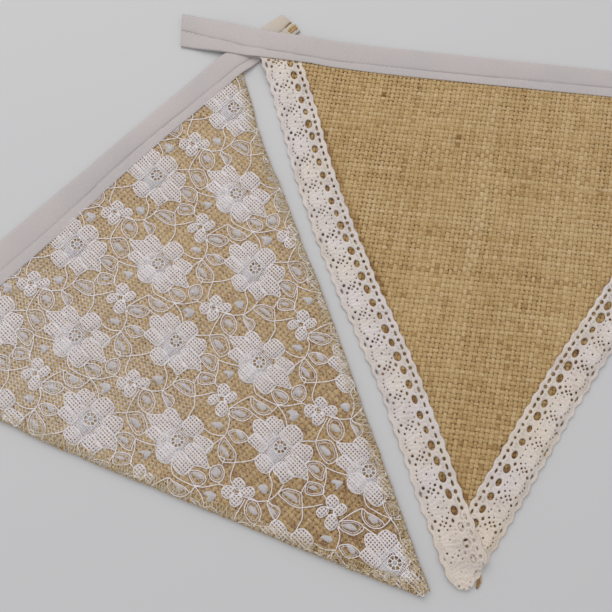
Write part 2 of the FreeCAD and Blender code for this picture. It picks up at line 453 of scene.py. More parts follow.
def attribute(nt, name):
    a = nt.nodes.new("ShaderNodeAttribute")
    a.attribute_name = name
    return a.outputs["Fac"]


def hessian_material():
    mat, nt, p = nodes("hessian", (0.52, 0.37, 0.19), 0.86, sheen=0.12, spec=0.2)
    thread = ramp(nt, attribute(nt, "rnd"), [(0.0, (0.28, 0.15, 0.058)), (0.2, (0.42, 0.268, 0.112)), (0.45, (0.525, 0.358, 0.166)), (0.7, (0.565, 0.405, 0.203)), (1.0, (0.62, 0.465, 0.262))])
    patch = ramp(nt, noise_tex(nt, 30, 2), [(0.3, (0.95, 0.93, 0.90)), (0.7, (1.04, 1.05, 1.07))])
    fibre = ramp(nt, noise_tex(nt, 900, 3, 0.7), [(0.28, (0.80, 0.76, 0.70)), (0.5, (1, 1, 1)), (0.75, (1.12, 1.13, 1.16))])
    fleck = ramp(nt, noise_tex(nt, 300, 1), [(0.70, (1, 1, 1)), (0.78, (0.74, 0.62, 0.54))])
    c = mix(nt, thread, patch, 1.0, "MULTIPLY")
    c = mix(nt, c, fibre, 1.0, "MULTIPLY")
    c = mix(nt, c, fleck, 1.0, "MULTIPLY")
    nt.links.new(c, p.inputs["Base Color"])
    bump(nt, p, noise_tex(nt, 2600, 2, 0.6), 0.6, 0.0002)
    return mat


def binding_material():
    mat, nt, p = nodes("binding", (0.60, 0.54, 0.51), 0.78, sheen=0.25, spec=0.25)
    tint = ramp(nt, noise_tex(nt, 22, 2), [(0.35, (0.515, 0.475, 0.470)), (0.65, (0.560, 0.505, 0.490))])
    yarn = nt.nodes.new("ShaderNodeTexWave")
    yarn.wave_type, yarn.bands_direction = "BANDS", "DIAGONAL"
    yarn.inputs["Scale"].default_value = 1.0
    yarn.inputs["Distortion"].default_value = 1.5
    yarn.inputs["Detail"].default_value = 1.0
    nt.links.new(coords(nt, 700), yarn.inputs["Vector"])
    cloth = ramp(nt, noise_tex(nt, 1500, 2, 0.6), [(0.3, (0.93, 0.93, 0.93)), (0.7, (1.05, 1.05, 1.05))])
    end = ramp(nt, attribute(nt, "rnd"), [(0.0, (1, 1, 1)), (1.0, (1.08, 1.03, 0.86))])
    nt.links.new(mix(nt, mix(nt, tint, cloth, 1.0, "MULTIPLY"), end, 1.0, "MULTIPLY"), p.inputs["Base Color"])
    h = math_node(nt, "ADD", math_node(nt, "MULTIPLY", yarn.outputs["Fac"], 0.5), noise_tex(nt, 1500, 2, 0.6))
    bump(nt, p, h, 0.25, 0.00015)
    return mat


def thread_material(name, color, vary=0.12, rough=0.6, sheen=0.2, stops=None):
    mat, nt, p = nodes(name, color, rough, sheen=sheen, spec=0.35)
    lo = tuple(c * (1 - vary) for c in color)
    hi = tuple(min(1, c * (1 + vary)) for c in color)
    t = ramp(nt, attribute(nt, "rnd"), stops or [(0.0, lo), (1.0, hi)])
    ply = ramp(nt, noise_tex(nt, 1800, 2, 0.6), [(0.3, (0.88, 0.88, 0.87)), (0.7, (1.06, 1.06, 1.06))])
    nt.links.new(mix(nt, t, ply, 1.0, "MULTIPLY"), p.inputs["Base Color"])
    bump(nt, p, noise_tex(nt, 3000, 1), 0.4, 0.0001)
    return mat


HESSIAN = hessian_material()
BINDING = binding_material()
CREAM = thread_material("cream_thread", (0.74, 0.69, 0.63))
GOLD = thread_material("gold_thread", (0.60, 0.47, 0.27), stops=[(0.0, (0.20, 0.105, 0.045)), (0.3, (0.47, 0.31, 0.135)), (0.6, (0.68, 0.535, 0.30)), (1.0, (0.80, 0.725, 0.60))])


# ------------------------------------------------------------------ hessian weave
def weave(name, at, lie, poly, skew, slope, seed, slubs, keep=None, dark=None):
    """Plain weave of round-ish yarns inside a convex outline; returns the warp and weft pieces."""
    r = np.random.default_rng(seed)
    amp, half_t = 0.33, 0.43
    poly = [np.array(p, float) for p in poly]
    s_lo, s_hi = min(p[0] for p in poly) - 30, max(p[0] for p in poly) + 30
    v_lo, v_hi = min(p[1] for p in poly) - 8, max(p[1] for p in poly) + 8

    def wander(s, v):
        ds = 0.55 * noise2(s, v, 34, seed + 1) + 0.16 * noise2(s, v, 9, seed + 2)
        dv = 0.55 * noise2(s, v, 31, seed + 3) + 0.16 * noise2(s, v, 8, seed + 4)
        return ds, dv

    pieces = []
    # painted shade: each yarn's two side edges, where it meets its neighbours, are coloured darker so the gaps between
    # yarns read as shadowed
    gap_shade = np.array([0.60, 0.0, 0.0, 0.60, 0.0, 0.0])
    for kind, pitch, other, half_w in (("warp", PITCH_WARP, PITCH_WEFT, 1.13), ("weft", PITCH_WEFT, PITCH_WARP, 1.10)):
        m = Mesher()
        count = int(((s_hi - s_lo) if kind == "warp" else (v_hi - v_lo)) / pitch) + 2
        for i in range(count):
            if kind == "warp":
                p0 = np.array([s_lo + i * pitch, 0.0])
                d = np.array([skew, 1.0])
            else:
                p0 = np.array([0.0, v_lo + i * pitch])
                d = np.array([1.0, slope])
            span = convex_span(p0, d, poly)
            fat = 1 + 0.07 * r.standard_normal()
            tone = np.clip(0.60 + 0.11 * r.standard_normal(), 0, 1)
            ph, off = r.random() * 100, 0.07 * r.standard_normal()
            e0, e1 = r.uniform(-0.5, 0.3, 2)
            if span is None:
                continue
            t = np.arange(span[0] + e0, span[1] - e1, other / 2.5)
            if len(t) < 4:
                continue
            s, v = p0[0] + t * d[0], p0[1] + t * d[1]
            if kind == "warp":
                k = (v - v_lo - slope * s) / PITCH_WEFT
                z = amp * np.cos(np.pi * (k + i))
            else:
                k = (s - s_lo - skew * v) / PITCH_WARP
                z = -amp * np.cos(np.pi * (k + i))
            ds, dv = wander(s, v)
            jig = off + 0.09 * noise2(t + ph, i * 3.1, 3.5, seed + 6)
            if kind == "warp":
                s, v = s + ds + jig, v + dv
            else:
                s, v = s + ds, v + dv + jig
            width = half_w * fat * (1 + 0.10 * noise2(t + ph, i * 1.7, 2.2, seed + 7) + 0.14 * noise2(t + ph, i * 2.3, 14, seed + 8))
            slub = slubs * np.clip(noise2(t + ph, i * 5.7, 9, seed + 9) - 0.62, 0, 1) * 2.2
            width = np.clip(width * (1 + slub), 0.80, 1.36)
            thick = half_t * (0.75 + 0.25 * fat) * (1 + 0.4 * slub)
            shade = np.clip(tone + 0.24 * noise2(t + ph, i * 4.1, 3.2, seed + 10) - 0.45 * slub, 0, 1)
            # painted shade and light given by the caller, taken off each yarn's tone
            if dark is not None:
                shade = np.clip(shade - dark(s, v), 0, 1)
            if keep is not None:
                ok = keep(s, v)
                if ok.sum() < 4:
                    continue
                a0, a1 = np.flatnonzero(ok)[[0, -1]]
                s, v, z, width, thick, shade = (q[a0 : a1 + 1] for q in (s, v, z, width, np.broadcast_to(thick, t.shape), shade))
            P = at(s, v, lie(s, v) + z)
            # the yarn's side edges take the painted shade of the gaps
            rn = np.clip(shade[:, None] - gap_shade, 0, 1).ravel()
            tube(m, P, (0, 0, 1), width, thick, 6, rnd=np.concatenate([rn, shade[:1], shade[-1:]]))
        pieces.append(m.object(f"{name}_{kind}", HESSIAN))
    return pieces


def fibres(name, at, lie, poly, count, seed, low_h=0.55):
    """Stray jute hairs standing off the cloth."""
    r = np.random.default_rng(seed)
    m = Mesher()
    poly = np.array(poly, float)
    lo, hi = poly.min(0), poly.max(0)
    made = 0
    while made < count:
        p = r.uniform(lo, hi)
        if convex_span(p, np.array([1.0, 0.0]), poly) is None:
            continue
        sp = convex_span(p, np.array([1.0, 0.0]), poly)
        if not (sp[0] + 2 < 0 < sp[1] - 2):
            continue
        made += 1
        length, a, bend = r.uniform(2.5, 8), r.uniform(0, 2 * np.pi), r.normal(0, 0.9)
        t = np.linspace(0, 1, 7)
        ang = a + bend * t
        x = p[0] + np.cumsum(np.cos(ang)) * length / 7
        y = p[1] + np.cumsum(np.sin(ang)) * length / 7
        h = lie(x, y) + low_h + r.uniform(0.05, 0.9) * np.sin(np.pi * t) ** 0.7
        tube(m, at(x, y, h), (0, 0, 1), 0.05, 0.05, 3, rnd=r.uniform(0.55, 1.0))
    return m.object(name, HESSIAN)


def spline(points):
    x, y = np.array(points, float).T

    def f(s):
        s = np.asarray(s, float)
        i = np.clip(np.searchsorted(x, s) - 1, 0, len(x) - 2)
        t = np.clip((s - x[i]) / (x[i + 1] - x[i]), 0, 1)
        t = t * t * (3 - 2 * t) * 0.5 + t * 0.5
        return y[i] + (y[i + 1] - y[i]) * t

    return f


# how far each slanted edge of pennant 1 is cut inside the straight line, by the distance from its top corner
BOW_NEAR = spline([(-20, 1.2), (7, 1.5), (19, 1.9), (33, 3.4), (43, 3.5), (55, 3.3), (67, 2.3), (88, 1.7), (104, 1.5), (124, 0.5), (145, 0.2), (180, 0.5), (225, 0.0), (290, 0.0)])
BOW_FAR = spline([(-20, 3.0), (20, 3.6), (51, 4.4), (70, 3.2), (85, 2.0), (133, 1.3), (180, 0.4), (225, 0.0), (290, 0.0)])


def edge_inside(s, v):
    """How far a point of pennant 1 is inside its nearer slanted edge, and inside each."""
    out = []
    for base_s, bow in ((P1_BASE[0], BOW_NEAR), (P1_BASE[1], BOW_FAR)):
        base = np.array([base_s, 0.0])
        d = (np.array(P1_TIP) - base) / np.linalg.norm(np.array(P1_TIP) - base)
        n = np.array([-d[1], d[0]])
        n = n if n @ (np.array([P1_TIP[0], 0]) - base) > 0 else -n
        t = (s - base[0]) * d[0] + v * d[1]
        out.append((s - base[0]) * n[0] + v * n[1] - bow(t))
    return np.minimum(*out)


def inset(p, q, inside, d):
    p, q, inside = (np.array(x, float) for x in (p, q, inside))
    n = np.array([-(q - p)[1], (q - p)[0]]) / np.linalg.norm(q - p)
    if n @ (inside - p) < 0:
        n = -n
    return p + n * d, q + n * d


def at_v(line, v):
    a, b = line
    return (a[0] + (b[0] - a[0]) * (v - a[1]) / (b[1] - a[1]), v)


def pennant(base, tip, v0, v1, d):
    left = inset((base[0], 0), tip, (tip[0], 0), d)
    right = inset((base[1], 0), tip, (tip[0], 0), d)
    return [at_v(left, v0), at_v(right, v0), at_v(right, v1), at_v(left, v1)]


poly1 = pennant(P1_BASE, P1_TIP, -10.5, 240.5, 0.6)
poly1[0], poly1[1] = (P1_BASE[0] + 0.5, -10.5), (P1_BASE[1] - 0.5, -10.5)
poly1 = [poly1[0], (P1_BASE[0] + 0.5, 0), poly1[3], poly1[2], (P1_BASE[1] - 0.5, 0), poly1[1]]
# pennant 1's hessian: painted shade, darker towards the tip, and painted light, a little lighter over the upper part
burlap1 = weave("burlap_panel_1", low, lie1, poly1, 0.0, 0.0, 40, 0.9, lambda s, v: (edge_inside(s, v) > 0.5) | (v < 0), lambda s, v: 0.40 * smooth(v, 90, 215) - 0.10 * smooth(s, 60, 190) * (1 - smooth(v, 60, 150)))
fib1 = fibres("burlap_hairs_1", low, lie1, pennant(P1_BASE, P1_TIP, 3, 238, 2), 420, 61)
p2 = pennant(P2_BASE, P2_TIP, 0, 236, EDGE_IN)
poly2 = [(p2[0][0], -10.5), p2[0], p2[3], p2[2], p2[1], (p2[1][0], -10.5)]


def inside_strips(s, v):
    """How far a point of pennant 2 is inside the nearer line between its top corners and its tip."""
    out = []
    for base_s in P2_BASE:
        base = np.array([base_s, 0.0])
        d = (np.array(P2_TIP) - base) / np.linalg.norm(np.array(P2_TIP) - base)
        n = np.array([-d[1], d[0]])
        n = n if n @ (np.array([P2_TIP[0], 0]) - base) > 0 else -n
        out.append((s - base[0]) * n[0] + v * n[1])
    return np.minimum(*out)


# pennant 2's hessian: painted shade, darker towards the tip, and painted shadow under the crochet strips
burlap2 = weave("burlap_panel_2", up, lie2, poly2, -0.075, -0.024, 80, 1.0, dark=lambda s, v: 0.20 * smooth(v, 80, 215) + 0.34 * (1 - smooth(inside_strips(s, v), 16.5, 19.0)))
fib2 = fibres("burlap_hairs_2", up, lie2, pennant(P2_BASE, P2_TIP, 3, 225, 10), 420, 62)

FLAG1 = [*burlap1, fib1]
FLAG2 = [*burlap2, fib2]


# ------------------------------------------------------------------ binding tapes
def tape(name, at, s0, s1, width, edge, crease, base, seed, puff, full, skew=0.0, slit=0.0, dent=0.3, tint=None):
    """A strip folded lengthwise: leaf thickness 0.45, pinched at its row of stitches, puffed towards the fold.
    width, edge, crease and base are functions of s: folded width, where the open edge is, the stitch row's distance from it, and the underside's height.
    full is where the pennant's cloth inside begins; before it the strip is empty and lies flatter."""
    m = Mesher()
    S = np.arange(s0, s1 + 0.01, 0.9)
    leaf = 0.45
    n_top = 26
    q = np.linspace(0, 1, n_top)
    W, E, C, Z = width(S), edge(S), crease(S), base(S)
    ring, shade = [], []
    for i, s in enumerate(S):
        w, c = W[i], C[i] / W[i]
        # middle line of the top leaf, from the open edge to the fold
        flat = 0.98 + 0.97 * float(smooth(s, full - 9, full))
        flange = flat + 0.10 * noise2(s, 0, 11, seed + 1)
        crown = flat + puff * (1 + 0.30 * noise2(s, 0, 37, seed + 2) + 0.15 * noise2(s, 0, 9, seed + 3))
        x = np.sort(np.concatenate([q, c + np.array([-0.9, -0.55, -0.28, 0.0, 0.28, 0.55, 0.9]) / w]))
        body = np.clip((x - c) / (1 - c), 0, 1)
        top = np.where(
            x < c,
            flange + 0.12 * np.sin(np.pi * np.clip(x / c, 0, 1)),
            flange + (crown - flange) * np.sin(np.pi * np.clip(body, 0, 1) ** 0.75) ** 0.8,
        )
        dip = (dent + slit * float(smooth(s0 + 16 - s, 0, 12))) * np.exp(-(((x - c) * w) / 0.42) ** 2) * (0.8 + 0.2 * np.cos(2 * np.pi * s / 2.6))
        top = top - dip + 0.10 * noise2(s, x * w, 5, seed + 4) * smooth(x, 0, 0.3)
        fold = 0.28 + (flat - 0.21) * 0.43
        top = fold + (top - fold) * np.sqrt(np.clip(1 - np.clip((x - 0.86) / 0.14, 0, 1) ** 2, 0, 1))
        bottom = 0.28 + 0 * x
        bottom = fold + (bottom - fold) * np.sqrt(np.clip(1 - np.clip((x - 0.90) / 0.10, 0, 1) ** 2, 0, 1))
        # closed section: outside of the top leaf, round the fold, outside of the bottom leaf, then the inside back
        xo = np.concatenate([x, x[::-1][1:]])
        zo = np.concatenate([top, bottom[::-1][1:]])
        # offset by half a leaf, outwards then inwards
        dx, dz = np.gradient(xo * w), np.gradient(zo)
        l = np.hypot(dx, dz) + 1e-9
        nx, nz = -dz / l, dx / l
        outer = np.stack([xo * w + nx * leaf / 2, zo + nz * leaf / 2], -1)
        inner = np.stack([xo * w - nx * leaf / 2, zo - nz * leaf / 2], -1)
        end0 = np.array([[-leaf * 0.42, top[0]]])
        end1 = np.array([[-leaf * 0.42, bottom[0]]])
        sec = np.concatenate([end0, outer, end1, inner[::-1]])
        lean = skew * (1 - sec[:, 0] / w) * (1 - smooth(s, s0, s0 + 14))
        ring.append(at(s + lean, E[i] - sec[:, 0], Z[i] + sec[:, 1]))
        shade.append(0 * sec[:, 0] + (tint(s, E[i] - sec[:, 0]) if tint else 0.0))
    ring = np.array(ring)
    n, k = ring.shape[:2]
    i, j = np.meshgrid(np.arange(n - 1), np.arange(k), indexing="ij")
    a = i * k + j
    b = i * k + (j + 1) % k
    quads = np.stack([a, b, b + k, a + k], -1).reshape(-1, 4)
    h = (k - 2) // 2  # end caps, one strip of quads between outside and inside
    outer_i = np.arange(1, 1 + h)
    inner_i = np.arange(k - 1, k - 1 - h, -1)
    caps = []
    for base_i, flip in ((0, True), ((n - 1) * k, False)):
        cap = np.stack([outer_i[:-1], outer_i[1:], inner_i[1:], inner_i[:-1]], -1) + base_i
        tri = np.array([[0, 1, k - 1], [1 + h, k - 1 - h, h]]) + base_i
        tri = np.array([[base_i, base_i + inner_i[0], base_i + outer_i[0]], [base_i + 1 + h, base_i + outer_i[-1], base_i + inner_i[-1]]])
        caps.append(cap[:, ::-1] if flip else cap)
        m_tri = tri if flip else tri[:, ::-1]
        caps.append(m_tri)
    m.add(ring.reshape(-1, 3), [quads, *caps], np.concatenate(shade))
    return m


low_w = spline([(-24, 13.5), (-16, 13.9), (0, 15.0), (20, 15.2), (60, 15.0), (100, 15.7), (120, 16.8), (140, 17.9), (165, 18.3), (272, 18.3)])
low_edge = spline([(-24, 3.5), (-10, 2.4), (8, 1.4), (16, 0.7), (30, 0.7), (45, 0.6), (60, 0.2), (80, 0.4), (100, 0.8), (120, 1.8), (140, 2.7), (160, 3.0), (272, 3.0)])
low_crease = spline([(-24, 6.8), (-15, 5.6), (0, 4.4), (10, 4.2), (20, 4.25), (40, 4.55), (60, 4.85), (80, 5.45), (100, 5.35), (120, 5.15), (140, 5.3), (165, 5.6), (272, 5.4)])
up_w = spline([(-44.5, 18.9), (-38, 18.6), (-30, 17.8), (-22, 17.2), (-12, 16.6), (4, 15.4), (25, 15.4), (90, 15.6), (180, 15.0), (278, 15.0)])
up_edge = spline([(-44.5, -0.8), (-20, 0.4), (0, 1.7), (25, 2.1), (36, 2.9), (47, 2.8), (80, 2.6), (110, 2.4), (140, 2.0), (180, 1.5), (278, 1.0)])
up_crease = spline([(-44.5, 9.0), (-38, 8.6), (-34, 7.9), (-31, 7.6), (-26, 6.9), (-20, 6.2), (-13, 5.4), (-7, 4.95), (0, 4.7), (5, 4.3), (12, 4.2), (21, 3.6), (36, 3.5), (47, 3.8), (60, 4.2), (80, 4.2), (135, 4.5), (190, 4.9), (278, 4.8)])
lower_tape = tape("lower_binding_tape", low, *LOW_ENDS, low_w, low_edge, low_crease, lambda s: 0 * s, 200, 0.62, 13, -0.5, 0.5, 0.16, tint=lambda s, v: 1 - smooth(s, -20, -6)).object("lower_binding_tape_cloth", BINDING)
upper_tape = tape("upper_binding_tape", up, *UP_ENDS, up_w, up_edge, up_crease, lift, 230, 0.62, 0, 2.4, 0.5, 0.28).object("upper_binding_tape_cloth", BINDING)


# ------------------------------------------------------------------ crochet lace strips
def contour_cells(D):
    """Marching squares over D > 0: index arrays of polygons in terms of grid corners and edge crossings."""
    ny, nx = D.shape
    inside = D > 0
    corner = np.full((ny, nx), -1)
    corner[inside] = np.arange(inside.sum())
    pts = [np.argwhere(inside)[:, ::-1].astype(float)]
    count = int(inside.sum())
    hx = inside[:, :-1] != inside[:, 1:]
    ex = np.full((ny, nx - 1), -1)
    ex[hx] = count + np.arange(hx.sum())
    j, i = np.nonzero(hx)
    f = np.clip(D[j, i] / (D[j, i] - D[j, i + 1]), 0.04, 0.96)
    pts.append(np.stack([i + f, j], -1))
    count += int(hx.sum())
    hy = inside[:-1] != inside[1:]
    ey = np.full((ny - 1, nx), -1)
    ey[hy] = count + np.arange(hy.sum())
    j, i = np.nonzero(hy)
    f = np.clip(D[j, i] / (D[j, i] - D[j + 1, i]), 0.04, 0.96)
    pts.append(np.stack([i, j + f], -1))
    count += int(hy.sum())
    pts = np.concatenate(pts)
    n_in = int(inside.sum())
    case = inside[:-1, :-1] * 1 + inside[:-1, 1:] * 2 + inside[1:, 1:] * 4 + inside[1:, :-1] * 8
    # vertex slots: 0..3 corners, 4 bottom edge, 5 right, 6 top, 7 left
    table = {1: [[0, 4, 7]], 2: [[4, 1, 5]], 4: [[5, 2, 6]], 8: [[7, 6, 3]], 3: [[0, 1, 5, 7]], 6: [[4, 1, 2, 6]], 12: [[7, 5, 2, 3]], 9: [[0, 4, 6, 3]],
             5: [[0, 4, 7], [5, 2, 6]], 10: [[4, 1, 5], [7, 6, 3]], 7: [[0, 1, 2], [0, 2, 6], [0, 6, 7]], 14: [[1, 2, 3], [1, 3, 7], [1, 7, 4]],
             13: [[2, 3, 0], [2, 0, 4], [2, 4, 5]], 11: [[3, 0, 1], [3, 1, 5], [3, 5, 6]], 15: [[0, 1, 2, 3]]}
    tris, quads = [], []
    for c, polys in table.items():
        j, i = np.nonzero(case == c)
        if not len(j):
            continue
        slot = [corner[j, i], corner[j, i + 1], corner[j + 1, i + 1], corner[j + 1, i], ex[j, i], ey[j, i + 1], ex[j + 1, i], ey[j, i]]
        for p in polys:
            (quads if len(p) == 4 else tris).append(np.stack([slot[k] for k in p], -1))
    return pts, n_in, np.concatenate(tris), np.concatenate(quads)


def ell(x, w, cx, cw, rx, rw):
    return (np.hypot((x - cx) / rx, (w - cw) / rw) - 1) * np.minimum(rx, rw)


UNIT = 14.1
LACE_W = 19.2
HOLES = [(-3.6, 12.9, 2.15, 1.58), (3.5, 13.05, 2.00, 1.22),
         (-3.6, 16.4, 0.80, 0.72), (3.5, 16.4, 0.80, 0.72), (0.0, 16.35, 1.25, 0.50), (7.05, 16.45, 1.25, 0.48), (-7.05, 16.45, 1.25, 0.48),
         (0.0, 10.8, 0.85, 0.56), (-1.75, 8.75, 0.50, 0.50), (1.8, 8.85, 0.46, 0.46), (0.0, 7.55, 0.56, 0.50), (-1.05, 6.3, 0.34, 0.34), (1.1, 6.3, 0.34, 0.34),
         (0.05, 5.0, 0.60, 0.55), (-2.0, 3.35, 0.66, 0.60), (2.05, 3.5, 0.55, 0.50), (0.1, 1.45, 1.15, 0.36),
         (7.05, 6.6, 0.36, 0.34), (-7.05, 6.6, 0.36, 0.34), (-4.7, 3.0, 0.28, 0.28), (4.7, 2.9, 0.28, 0.28), (-6.2, 2.15, 0.27, 0.27), (6.2, 2.2, 0.27, 0.27),
         (-3.5, 10.2, 0.30, 0.27), (3.9, 10.3, 0.28, 0.27), (-5.6, 10.0, 0.27, 0.27), (5.5, 9.9, 0.27, 0.27), (-2.9, 7.0, 0.27, 0.27), (3.0, 7.1, 0.27, 0.27)]


def lace_strip(name, side, fans, drift, t_end, w_end, over, seed):
    """One strip: t runs down the pennant's slanted edge, w inwards from the scalloped edge."""
    base = np.array([P2_BASE[0] if side < 0 else P2_BASE[1], 0.0])
    tip = np.array(P2_TIP)
    d = (tip - base) / np.linalg.norm(tip - base)
    inw = np.array([-d[1], d[0]]) * (1 if side > 0 else -1)
    inw = inw if inw @ (np.array([P2_TIP[0], 0]) - base) > 0 else -inw
    step = 0.345
    t = np.arange(-24, max(t_end) + 1.5, step)
    w = np.arange(-2.0, LACE_W + 1.6, step)
    T, Wd = np.meshgrid(t, w)
    k0, tk = np.arange(len(fans)), np.array(fans, float)
    k = np.interp(T, tk, k0)
    k = np.where(T < tk[0], (T - tk[0]) / UNIT, k)
    k = np.where(T > tk[-1], k0[-1] + (T - tk[-1]) / UNIT, k)
    cell = np.round(k)
    x = (k - cell) * UNIT * (1 if side < 0 else -1)
    r = np.random.default_rng(seed)
    jit = r.normal(0, 1, (64, 4))
    ci = (cell.astype(int) + 8) % 64
    xw = x + 0.18 * noise2(T, Wd, 6, seed + 1)
    ww = Wd + 0.16 * noise2(T, Wd, 5, seed + 2)
    outer = 0.85 * np.cos(np.pi * x / (UNIT / 2)) ** 2 + 0.12 * np.abs(np.sin(np.pi * x / 1.76)) + 0.18 * jit[ci, 0]
    inner = LACE_W - 0.30 + 0.34 * np.cos(2 * np.pi * (x - 3.5) / (UNIT / 2)) + 0.10 * jit[ci, 1]
    D = np.minimum(ww + outer, inner - ww) * 0.9
    closing = 0.22 * smooth(T, 249, 258) if over else 0
    for cx, cw, rx, rw in HOLES:
        g = 1 + 0.08 * jit[ci, 2] if rx > 0.45 else 1.08
        D = np.minimum(D, ell(xw, ww, cx, cw, rx * g, rw * g) + closing)
    e = np.interp(Wd, w_end, t_end)
    D = np.minimum(D, (e - T) * 0.75)
    s = base[0] + d[0] * T + inw[0] * (Wd + drift(T) - 0.3)
    v = d[1] * T + inw[1] * (Wd + drift(T) - 0.3)
    D = np.minimum(D, v + 9.5)
    pts, n_in, tris, quads = contour_cells(D)

    def sample(F):
        i, j = pts[:, 0], pts[:, 1]
        i0, j0 = np.floor(i).astype(int), np.floor(j).astype(int)
        i1, j1 = np.minimum(i0 + 1, F.shape[1] - 1), np.minimum(j0 + 1, F.shape[0] - 1)
        a, b = i - i0, j - j0
        return (F[j0, i0] * (1 - a) + F[j0, i1] * a) * (1 - b) + (F[j1, i0] * (1 - a) + F[j1, i1] * a) * b

    S, Vv, DD, X, WW, TT = (sample(F) for F in (s, v, D, x, Wd, T))
    DD = np.maximum(DD, 0)
    DD[n_in:] = 0
    half = 0.40 * np.sqrt(1 - (1 - np.clip(DD / 0.75, 0, 1)) ** 2)
    # raised rims round the big holes, and ribs that fan out over each shell
    rim = 0.16 * np.exp(-((DD - 0.55) / 0.35) ** 2)
    shell_x = np.where(X > 0, X - UNIT / 2, X + UNIT / 2)
    ang = np.arctan2(shell_x, WW + 2.0)
    ribs = 0.13 * np.cos(ang * 26) * smooth(WW, 0.5, 2.5) * (1 - smooth(WW, 9.0, 10.5)) * smooth(DD, 0.4, 1.0)
    dome = 0.22 * np.exp(-((shell_x / 4.2) ** 2 + ((WW - 5.0) / 3.4) ** 2))
    cord = 0.14 * np.cos(2 * np.pi * TT / 1.76) * np.exp(-((WW - 14.75) / 0.5) ** 2)
    # over the hessian, over the other strip at the tip, down on the surface outside
    on_cloth = lie2(S, Vv) + 0.66 + 0.40
    on_floor = 0.48 + 0.25 * (1 + noise2(S, Vv, 12, seed + 5)) + (lift(S) + 1.0) * (1 - smooth(Vv, 0, 30))
    edge_w = smooth(WW, 0.3, 4.2) * (1 - smooth(Vv, 232, 238))
    mid = on_floor * (1 - edge_w) + on_cloth * edge_w
    if over:
        other = np.array([P2_BASE[1], 0.0])
        d2 = (tip - other) / np.linalg.norm(tip - other)
        n2 = np.array([-d2[1], d2[0]])
        n2 = n2 if n2 @ (np.array([P2_TIP[0], 0]) - other) > 0 else -n2
        w2 = (S - other[0]) * n2[0] + (Vv - other[1]) * n2[1]
        mid = mid + 0.88 * (1 - smooth(w2, 17.5, 21.5))
    mid = mid + 0.12 * noise2(S, Vv, 4, seed + 6)
    in_tape = 1 - smooth(Vv - up_edge(S), 0.3, 3.0)
    centre = 1.35 + lift(S)
    mid = mid * (1 - in_tape) + centre * in_tape
    half = half * (1 - 0.45 * in_tape)
    relief = (rim + ribs + dome + cord) * smooth(DD, 0, 0.5)
    topz, botz = mid + half + relief, mid - half
    m = Mesher()
    P = up(S, Vv, 0)
    A, B = P.copy(), P.copy()
    A[:, 2] += topz
    B[:, 2] += botz
    rim_n = len(pts) - n_in
    # the rim's points are shared by both faces
    A[n_in:, 2] = B[n_in:, 2] = (topz[n_in:] + botz[n_in:]) / 2
    verts = np.concatenate([A, B[:n_in]])
    remap = np.concatenate([np.arange(n_in) + len(pts), np.arange(n_in, len(pts))])
    flip = side > 0
    up_q, up_t = (quads, tris)
    dn_q, dn_t = remap[quads][:, ::-1], remap[tris][:, ::-1]
    if flip:
        up_q, up_t, dn_q, dn_t = up_q[:, ::-1], up_t[:, ::-1], dn_q[:, ::-1], dn_t[:, ::-1]
    # painted highlight and shade: the tone rises with the relief, so rims, ribs, domes and cord are lighter and the low
    # parts darker
    tone = np.clip(0.5 + 0.25 * noise2(S, Vv, 5, seed + 8) + 1.5 * (relief - 0.12), 0, 1)
    m.add(verts, [up_q, up_t, dn_q, dn_t], np.concatenate([tone, tone[:n_in]]))
    o = m.object(name, CROCHET)
    warm = np.clip(0.85 * smooth(Vv, 190, 238) + (0.45 * smooth(Vv, 90, 170) if side > 0 else 0) + 0.25 * noise2(S, Vv, 20, seed + 9), 0, 1)
    a = o.data.attributes.new("warm", "FLOAT", "POINT")
    a.data.foreach_set("value", np.concatenate([warm, warm[:n_in]]).astype(np.float32))
    return o, (base, d, inw)


def crochet_material():
    mat, nt, p = nodes("crochet_lace", (0.78, 0.72, 0.66), 0.75, sheen=0.25, spec=0.25)
    t = ramp(nt, attribute(nt, "rnd"), [(0.0, (0.57, 0.495, 0.455)), (0.45, (0.725, 0.655, 0.615)), (1.0, (0.80, 0.735, 0.70))])
    yarn = ramp(nt, noise_tex(nt, 1400, 3, 0.65), [(0.3, (0.86, 0.85, 0.83)), (0.55, (1.0, 1.0, 1.0)), (0.8, (1.06, 1.06, 1.07))])
    patch = ramp(nt, noise_tex(nt, 42, 1), [(0.3, (1.03, 1.01, 0.95)), (0.7, (1.0, 1.005, 1.05))])
    nt.links.new(mix(nt, mix(nt, t, yarn, 1.0, "MULTIPLY"), patch, 1.0, "MULTIPLY"), p.inputs["Base Color"])
    cream = ramp(nt, attribute(nt, "warm"), [(0.0, (1, 1, 1)), (1.0, (1.015, 0.985, 0.92))])
    nt.links.new(mix(nt, p.inputs["Base Color"].links[0].from_socket, cream, 1.0, "MULTIPLY"), p.inputs["Base Color"])
    knit = nt.nodes.new("ShaderNodeTexVoronoi")
    knit.inputs["Scale"].default_value = 1.0
    nt.links.new(coords(nt, 1500), knit.inputs["Vector"])
    bump(nt, p, math_node(nt, "ADD", knit.outputs["Distance"], noise_tex(nt, 2600, 2, 0.6)), 0.45, 0.00022)
    return mat


